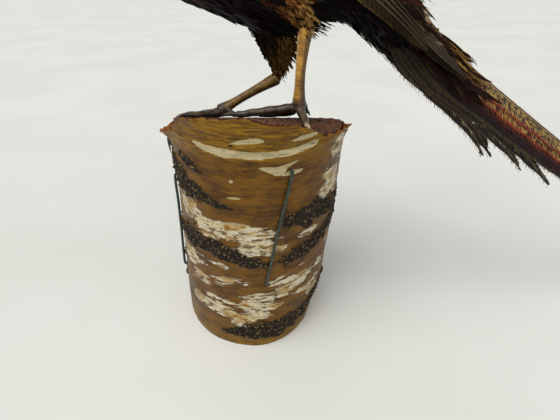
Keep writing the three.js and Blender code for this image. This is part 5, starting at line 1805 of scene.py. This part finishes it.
def looped(grid):
    """Faces of a grid closed both ways, for a ring with a thickness."""
    rows, columns = grid.shape[:2]
    first, last = np.arange(columns), np.arange(columns) + (rows - 1) * columns
    closing = np.stack([last, np.roll(last, -1), np.roll(first, -1), first], -1)
    return outward(grid.reshape(-1, 3), [np.vstack([grid_faces(rows, columns), closing])])


def build_eyes():
    glass, rim = eye_material(), wattle_material()
    back = unit(np.array([0, 1.0, 0]) - GAZE * GAZE[1])
    high = np.cross(GAZE, back)
    high = high * np.sign(high[2])
    for name, side in (("left", 1), ("right", -1)):
        flip = np.array([side, 1, 1])
        centre = head_place([EYE_PLACE * flip])[0]
        deselect()
        bpy.ops.mesh.primitive_uv_sphere_add(segments=64, ring_count=40, radius=EYE_RADIUS * MM)
        eye = bpy.context.object
        eye.name = f"eye_{name}_glass"
        bpy.ops.object.shade_smooth()
        gaze = head_place([GAZE * flip])[0] - head_place([(0, 0, 0)])[0]
        local = positions(eye.data)
        turned = np.degrees(np.arccos(np.clip(unit(local) @ unit(gaze), -1, 1)))
        bulge = 0.35 * smooth(50, 20, turned)
        reshape(eye, local * (1 + bulge[:, None] / EYE_RADIUS) + centre)
        store(eye.data, {"iris": turned / 52})
        eye.data.materials.append(glass)
        finish(eye, "eye_glass", f"eye_{name}")
        # The lids: one wrinkled ring of bare skin, drawn to a corner in front and behind.
        around, sides = 120, 22
        turn = np.linspace(0, 2 * math.pi, around, endpoint=False)
        corner = np.abs(np.cos(turn)) ** 5
        out = back * np.cos(turn)[:, None] + high * np.sin(turn)[:, None]
        reach = np.hypot(EYE_RADIUS * (0.92 + 0.1 * corner) * np.cos(turn), EYE_RADIUS * 0.8 * np.sin(turn))
        middle = EYE_PLACE + GAZE * (3.3 - 0.5 * corner)[:, None] + out * reach[:, None]
        small = np.linspace(0, 2 * math.pi, sides, endpoint=False)
        wrinkle = 0.12 * np.sin(turn * 31)[:, None] * np.abs(np.sin(small))[None]
        thick = 1.1 + wrinkle + 0.15 * np.cos(2 * small)[None]
        ring = (out[:, None] * (np.cos(small)[None, :, None] * thick[...,
                None] * 1.25) + GAZE * (np.sin(small)[None, :, None] * thick[..., None]))
        grid = head_place(((middle[:, None] + ring) * flip).reshape(-1, 3)).reshape(around, sides, 3)
        knob = 0.2 + 0.3 * np.sin(np.repeat(turn, sides) * 31)
        finish(build(f"eyelid_{name}", grid.reshape(-1, 3), looped(grid), rim, {"knob": knob}),
               "wattle_skin")


def build_wattles():
    """The red face: a raised patch of bare skin set with rows of small papillae."""
    material = wattle_material()
    rows, around = 76, 330
    loop = np.array(WATTLE_OUTLINE + WATTLE_OUTLINE[:3], float)
    flat = curve(np.column_stack([0 * loop[:, 0], loop]), np.linspace(0, 1, 600))[:, 1:] - EYE_PLACE[1:]
    bearing = np.unwrap(np.arctan2(flat[:, 1], flat[:, 0]))
    order = np.argsort(bearing)
    turn = np.linspace(bearing.min() + 0.1, bearing.min() + 0.1 + 2 * math.pi, around, endpoint=False)
    edge = np.interp(turn, bearing[order], np.hypot(*flat.T)[order])
    edge = edge + 0.25 * np.sin(turn * 23) + 0.2 * np.sin(turn * 41 + 1)
    share = np.linspace(0, 1, rows)
    inner = EYE_RADIUS * 0.92
    reach = inner + (edge[None] - inner) * share[:, None]
    y = EYE_PLACE[1] + reach * np.cos(turn)
    z = EYE_PLACE[2] + reach * np.sin(turn)
    row = np.round(z / (WATTLE_PITCH * 0.866))
    column = y / WATTLE_PITCH + np.mod(row,
                                       2) * 0.5 + 0.12 * fractal(np.stack([0 * y, y, z], -1).reshape(-1,
                                               3), 3, 1, seed=91).reshape(y.shape)
    away = np.hypot((column - np.round(column)) * WATTLE_PITCH, z - row * WATTLE_PITCH * 0.866)
    knob = 1 - smooth(0.12, 0.6, away)
    rim = edge[None] - reach
    swell = smooth(0, 2.6, rim) * (1.25 + 0.5 * smooth(4, -10, z))
    fold = 0.5 * fractal(np.stack([0 * y, y, z * 1.6], -1).reshape(-1, 3), 7, 2, seed=93).reshape(y.shape)
    x = head_side(y, z) - 0.9 + swell + (0.42 * knob + fold) * smooth(0.2, 2, rim) * smooth(-0.4, 1.2,
            reach - inner)
    front = np.stack([x, y, z], -1)
    deep = np.array([3.5, 0, 0])
    grid = np.concatenate([front[:1] - deep, front, front[-1:] - deep])
    knobs = np.concatenate([knob[:1], knob, knob[-1:]]).ravel()
    for name, side in (("left", 1), ("right", -1)):
        placed = head_place((grid * [side, 1, 1]).reshape(-1, 3)).reshape(grid.shape)
        piece = build(f"wattle_{name}_papillate", placed.reshape(-1, 3), looped(placed), material,
                      {"knob": knobs})
        finish(piece, "wattle_skin", f"wattle_{name}")


def build_bill():
    horn = bill_material()
    rows, around = 110, 64
    angle = np.linspace(0, 2 * math.pi, around, endpoint=False)
    for name, stations, above in (("upper", BILL_UPPER, 1), ("lower", BILL_LOWER, -1)):
        table = np.array(stations)
        shares = np.linspace(0, 1, rows)
        y, ridge = curve(table[:, [0, 0, 1]], shares)[:, 1:].T
        _, mouth, wide = curve(table[:, [0, 2, 3]], shares).T
        sine, cosine = np.sin(angle), np.cos(angle)
        outer = np.clip(sine, 0, 1) ** 0.85
        x = wide[:, None] * np.sign(cosine) * np.abs(cosine) ** 0.72
        x = x * (1 - 0.14 * outer * above)
        inside = np.clip(-sine, 0, 1)
        lip = 0.5 * bell(np.abs(cosine), 1, 0.1) * (above > 0)
        z = mouth[:, None] + (ridge - mouth)[:, None] * outer + above * 0.5 * inside * (wide / 5)[:,
                None] - lip
        along = np.repeat(y[:, None], around, 1)
        hole = np.zeros_like(x)
        if above > 0:
            away = np.hypot((along + 26.5) / 3.2, (z - 2.5 - 0.12 * (along + 26.5)) / 0.8)
            hole = (1 - smooth(0.5, 1.15, away)) * (np.abs(x) > 2.5)
            hood = bell(along, -26, 4.4) * bell(z, 4.1, 1.1) * (np.abs(x) > 1.5)
            x = x + np.sign(x) * (0.7 * hood - 1.2 * hole)
        z = z + 0.05 * np.sin(along * 2.4 + 0.4 * np.abs(x))
        grid = np.stack([x, along, z], -1)
        level = (mouth + ridge)[[0, -1]] / 2
        points, faces = capped(grid, np.array([0, y[0] + 1, level[0]]),
                               np.array([0, y[-1] - 0.5, level[1]]))
        points = head_place(points)
        fields = {"base": np.append(smooth(-28, -20, along).ravel(), [1, 0]),
                  "hole": np.append(hole.ravel(), [0, 0])}
        finish(build(f"bill_{name}_horn", points, outward(points, faces), horn, fields), "bill_horn",
               f"bill_{name}")


def build_ear_tufts():
    """The two tufts of dark narrow feathers behind the crown."""
    rng = np.random.default_rng(SEED + 60)
    glossy = vane_material("feathers_tuft", 0.34, 0.5, metallic=0.45, barb=0.8)
    count = 90
    line = np.array(TUFT_LINE, float)
    aim = unit(line[-1] - line[0])
    for name, side in (("left", 1), ("right", -1)):
        spread = rng.normal(0, 1, (count, 3))
        spread -= aim * (spread @ aim)[:, None]
        share = rng.uniform(0, 0.62, count)
        root = curve(TUFT_LINE, share) + spread * (1.5 * (1 - share * 0.7))[:, None]
        lean = unit(aim + spread * 0.13 + [0, -0.1, 0.04])
        length = rng.uniform(9, 15, count) * (1 - 0.2 * share)
        width = rng.uniform(2.0, 3.0, count)
        bend = np.array([0, 0.35, -0.2]) * (VANE_ROWS ** 2)[None, :, None] * length[:, None, None] * 0.3
        centre = root[:, None] + lean[:, None] * (VANE_ROWS[None, :, None] * length[:, None, None]) + bend
        facing = unit(spread + aim * 0.1)
        across = np.cross(lean, facing)
        half = width[:, None] / 2 * VANE_WIDTHS
        points = centre[:, :, None] + across[:, None, None] * (half[..., None] * VANE_COLUMNS)[..., None]
        points = points - facing[:, None, None] * (0.12 * width)[:, None, None,
                None] * (VANE_COLUMNS ** 2)[:, None]
        points = head_place((points * [side, 1, 1]).reshape(-1, 3)).reshape(points.shape)
        full = lambda value: np.full(count, float(value))
        look = {"ground": np.tile(linear("#123a30"), (count, 1)),
                "border": np.tile(linear("#0a1a30"), (count, 1)),
                "edge": full(0.2), "bars": full(0), "fluff": full(0), "length": length, "width": width,
                "chart": np.column_stack([0.5 + side * (0.03 + 0.02 * rng.random(count)),
                                          0.03 + 0.02 * share])}
        made = vane_piece(f"ear_tuft_{name}_feathers", points, look, glossy, length, width, rng,
                          VANE_COLUMNS)
        finish(made, "head_plumage", f"ear_tuft_{name}")


# ---------------------------------------------------------------- settings, operators and panel

def colour_setting(label, text, code):
    return bpy.props.FloatVectorProperty(name=label, description=text, default=linear(code), size=4,
                                         subtype="COLOR", min=0, max=1)


class PheasantStage(bpy.types.PropertyGroup):
    """The view and its light."""
    lens: bpy.props.FloatProperty(name="Lens", description="Focal length of the camera", default=23.14,
                                  unit="CAMERA")
    ambient: bpy.props.FloatProperty(name="Ambient", description="Strength of the even light", default=0.55,
                                     min=0)
    key: bpy.props.FloatProperty(name="Key", description="Strength of the main lamp", default=1.9, min=0)


class PheasantBark(bpy.types.PropertyGroup):
    """The bark of the log."""
    brown_low: colour_setting("Brown, darker", "The darker plain brown of the bark", "#53340e")
    brown_high: colour_setting("Brown, lighter", "The lighter plain brown of the bark", "#75501b")
    gold: colour_setting("Gold", "The golden brown at the top of the bark", "#946e27")
    cream: colour_setting("Cream", "The palest layer where the bark has flaked", "#e2dccb")
    flaked: colour_setting("Flaked", "The layer under the outermost one", "#d6caa6")
    inner: colour_setting("Bare strip", "The pale strip where the bark has torn off", "#c6bb98")
    # The darkest cork is partly painted shade in the gaps of the rough bands.
    cork: colour_setting("Cork", "The darkest cork in the rough bands", "#0c0906")
    cork_swell: bpy.props.FloatProperty(name="Cork swell", description="How far the rough bands spread",
                                        default=1.28, min=0.5, max=2)


class PheasantPlumage(bpy.types.PropertyGroup):
    """The small feathers of the body."""
    head: colour_setting("Head", "Ground colour of the head's feathers", "#0f3a2c")
    neck: colour_setting("Neck", "Ground colour of the neck's feathers", "#16283f")
    ring: colour_setting("Ring", "Ground colour of the neck's ring", "#e6e0d0")
    mantle: colour_setting("Mantle", "Ground colour of the upper back", "#a8692c")
    breast: colour_setting("Breast", "Ground colour of the breast", "#6a2410")
    flank: colour_setting("Flank", "Ground colour of the flank", "#54280f")
    belly: colour_setting("Belly", "Ground colour of the belly", "#0c0303")
    thigh: colour_setting("Thigh", "Ground colour of the near thigh", "#7a4a1a")
    coverts: colour_setting("Wing coverts", "Ground colour of the wing's small feathers", "#8a7452")
    depth: bpy.props.FloatProperty(name="Coat depth", default=3.0, min=0.5, max=6,
                                   description="How far the skin lies inside the feathers, in mm")


class PheasantLegs(bpy.types.PropertyGroup):
    """The scaled legs and toes."""
    near: colour_setting("Near leg", "Light plates of the left leg", "#d29a36")
    # The far leg's darker default colour is painted shade on the same plates.
    far: colour_setting("Far leg", "Light plates of the right leg", "#a67e34")
    toes: colour_setting("Toes", "Light plates of the toes", "#6b5a48")


class PheasantFace(bpy.types.PropertyGroup):
    """The eyes, the bare skin and the bill."""
    iris: colour_setting("Iris", "The lighter colour of the iris", "#d08a24")
    wattle: colour_setting("Wattle", "The raised points of the bare skin", "#c22a1c")
    bill: colour_setting("Bill", "The lighter colour of the bill", "#d8cda6")


class PheasantTail(bpy.types.PropertyGroup):
    """The long tail feathers."""
    bars: colour_setting("Bars", "The dark bars and specks of the tail", "#0e0a07")
    shaft: colour_setting("Shaft", "The pale shaft of the tail's feathers", "#8a7244")


class PHEASANT_OT_stage(bpy.types.Operator):
    """Adds the floor, the lamps and the camera"""
    bl_idname = "pheasant.stage"
    bl_label = "Stage"

    def execute(self, context):
        build_stage()
        return {"FINISHED"}


class PHEASANT_OT_bark(bpy.types.Operator):
    """Models the log's bark with its torn rim"""
    bl_idname = "pheasant.bark"
    bl_label = "Bark"

    def execute(self, context):
        build_bark()
        return {"FINISHED"}


class PHEASANT_OT_wood(bpy.types.Operator):
    """Models the log's broken top and wood"""
    bl_idname = "pheasant.wood"
    bl_label = "Wood"

    def execute(self, context):
        build_wood()
        return {"FINISHED"}


class PHEASANT_OT_wires(bpy.types.Operator):
    """Models the two green wires"""
    bl_idname = "pheasant.wires"
    bl_label = "Wires"

    def execute(self, context):
        build_wires()
        return {"FINISHED"}


class PHEASANT_OT_legs(bpy.types.Operator):
    """Models the scaled legs, toes and claws"""
    bl_idname = "pheasant.legs"
    bl_label = "Legs"

    def execute(self, context):
        build_legs()
        return {"FINISHED"}


class PHEASANT_OT_skin(bpy.types.Operator):
    """Makes the one skin under the feathers"""
    bl_idname = "pheasant.skin"
    bl_label = "Skin"

    def execute(self, context):
        build_skin()
        return {"FINISHED"}


class PHEASANT_OT_coat(bpy.types.Operator):
    """Lays the small feathers of the body"""
    bl_idname = "pheasant.coat"
    bl_label = "Coat"

    def execute(self, context):
        build_coat()
        return {"FINISHED"}


class PHEASANT_OT_tail(bpy.types.Operator):
    """Models the long barred tail feathers"""
    bl_idname = "pheasant.tail"
    bl_label = "Tail"

    def execute(self, context):
        build_tail()
        return {"FINISHED"}


class PHEASANT_OT_wings(bpy.types.Operator):
    """Lays the folded flight feathers"""
    bl_idname = "pheasant.wings"
    bl_label = "Wings"

    def execute(self, context):
        build_wings()
        return {"FINISHED"}


class PHEASANT_OT_eyes(bpy.types.Operator):
    """Models the glass eyes and their lids"""
    bl_idname = "pheasant.eyes"
    bl_label = "Eyes"

    def execute(self, context):
        build_eyes()
        return {"FINISHED"}


class PHEASANT_OT_wattles(bpy.types.Operator):
    """Models the bare red skin of the face"""
    bl_idname = "pheasant.wattles"
    bl_label = "Wattles"

    def execute(self, context):
        build_wattles()
        return {"FINISHED"}


class PHEASANT_OT_bill(bpy.types.Operator):
    """Models the bill with its nostrils"""
    bl_idname = "pheasant.bill"
    bl_label = "Bill"

    def execute(self, context):
        build_bill()
        return {"FINISHED"}


class PHEASANT_OT_ear_tufts(bpy.types.Operator):
    """Models the tufts behind the crown"""
    bl_idname = "pheasant.ear_tufts"
    bl_label = "Ear Tufts"

    def execute(self, context):
        build_ear_tufts()
        return {"FINISHED"}


GROUPS = {"stage": PheasantStage, "bark": PheasantBark, "plumage": PheasantPlumage, "legs":
    PheasantLegs, "face": PheasantFace, "tail": PheasantTail}
OPERATORS = [PHEASANT_OT_stage, PHEASANT_OT_bark, PHEASANT_OT_wood, PHEASANT_OT_wires, PHEASANT_OT_legs,
    PHEASANT_OT_skin, PHEASANT_OT_coat, PHEASANT_OT_tail, PHEASANT_OT_wings, PHEASANT_OT_eyes,
    PHEASANT_OT_wattles, PHEASANT_OT_bill, PHEASANT_OT_ear_tufts]


class PHEASANT_PT_panel(bpy.types.Panel):
    """Lists the pieces of the mounted pheasant and their settings."""
    bl_label = "Mounted Pheasant"
    bl_idname = "PHEASANT_PT_panel"
    bl_space_type = "VIEW_3D"
    bl_region_type = "UI"
    bl_category = "Pheasant"

    def draw(self, context):
        for made in OPERATORS:
            self.layout.operator(made.bl_idname)
        for group, kind in GROUPS.items():
            box = self.layout.box()
            for key in kind.__annotations__:
                box.prop(settings(group), key)


CLASSES = [*GROUPS.values(), *OPERATORS, PHEASANT_PT_panel]


def register():
    for item in CLASSES:
        bpy.utils.register_class(item)
    for group, kind in GROUPS.items():
        setattr(bpy.types.Scene, "pheasant_" + group, bpy.props.PointerProperty(type=kind))


def unregister():
    for group in GROUPS:
        delattr(bpy.types.Scene, "pheasant_" + group)
    for item in reversed(CLASSES):
        bpy.utils.unregister_class(item)


def main():
    register()
    bpy.ops.pheasant.stage()
    bpy.ops.pheasant.bark()
    bpy.ops.pheasant.wood()
    bpy.ops.pheasant.wires()
    bpy.ops.pheasant.legs()
    bpy.ops.pheasant.skin()
    bpy.ops.pheasant.coat()
    bpy.ops.pheasant.tail()
    bpy.ops.pheasant.wings()
    bpy.ops.pheasant.eyes()
    bpy.ops.pheasant.wattles()
    bpy.ops.pheasant.bill()
    bpy.ops.pheasant.ear_tufts()
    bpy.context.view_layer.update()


if __name__ == "__main__":
    main()
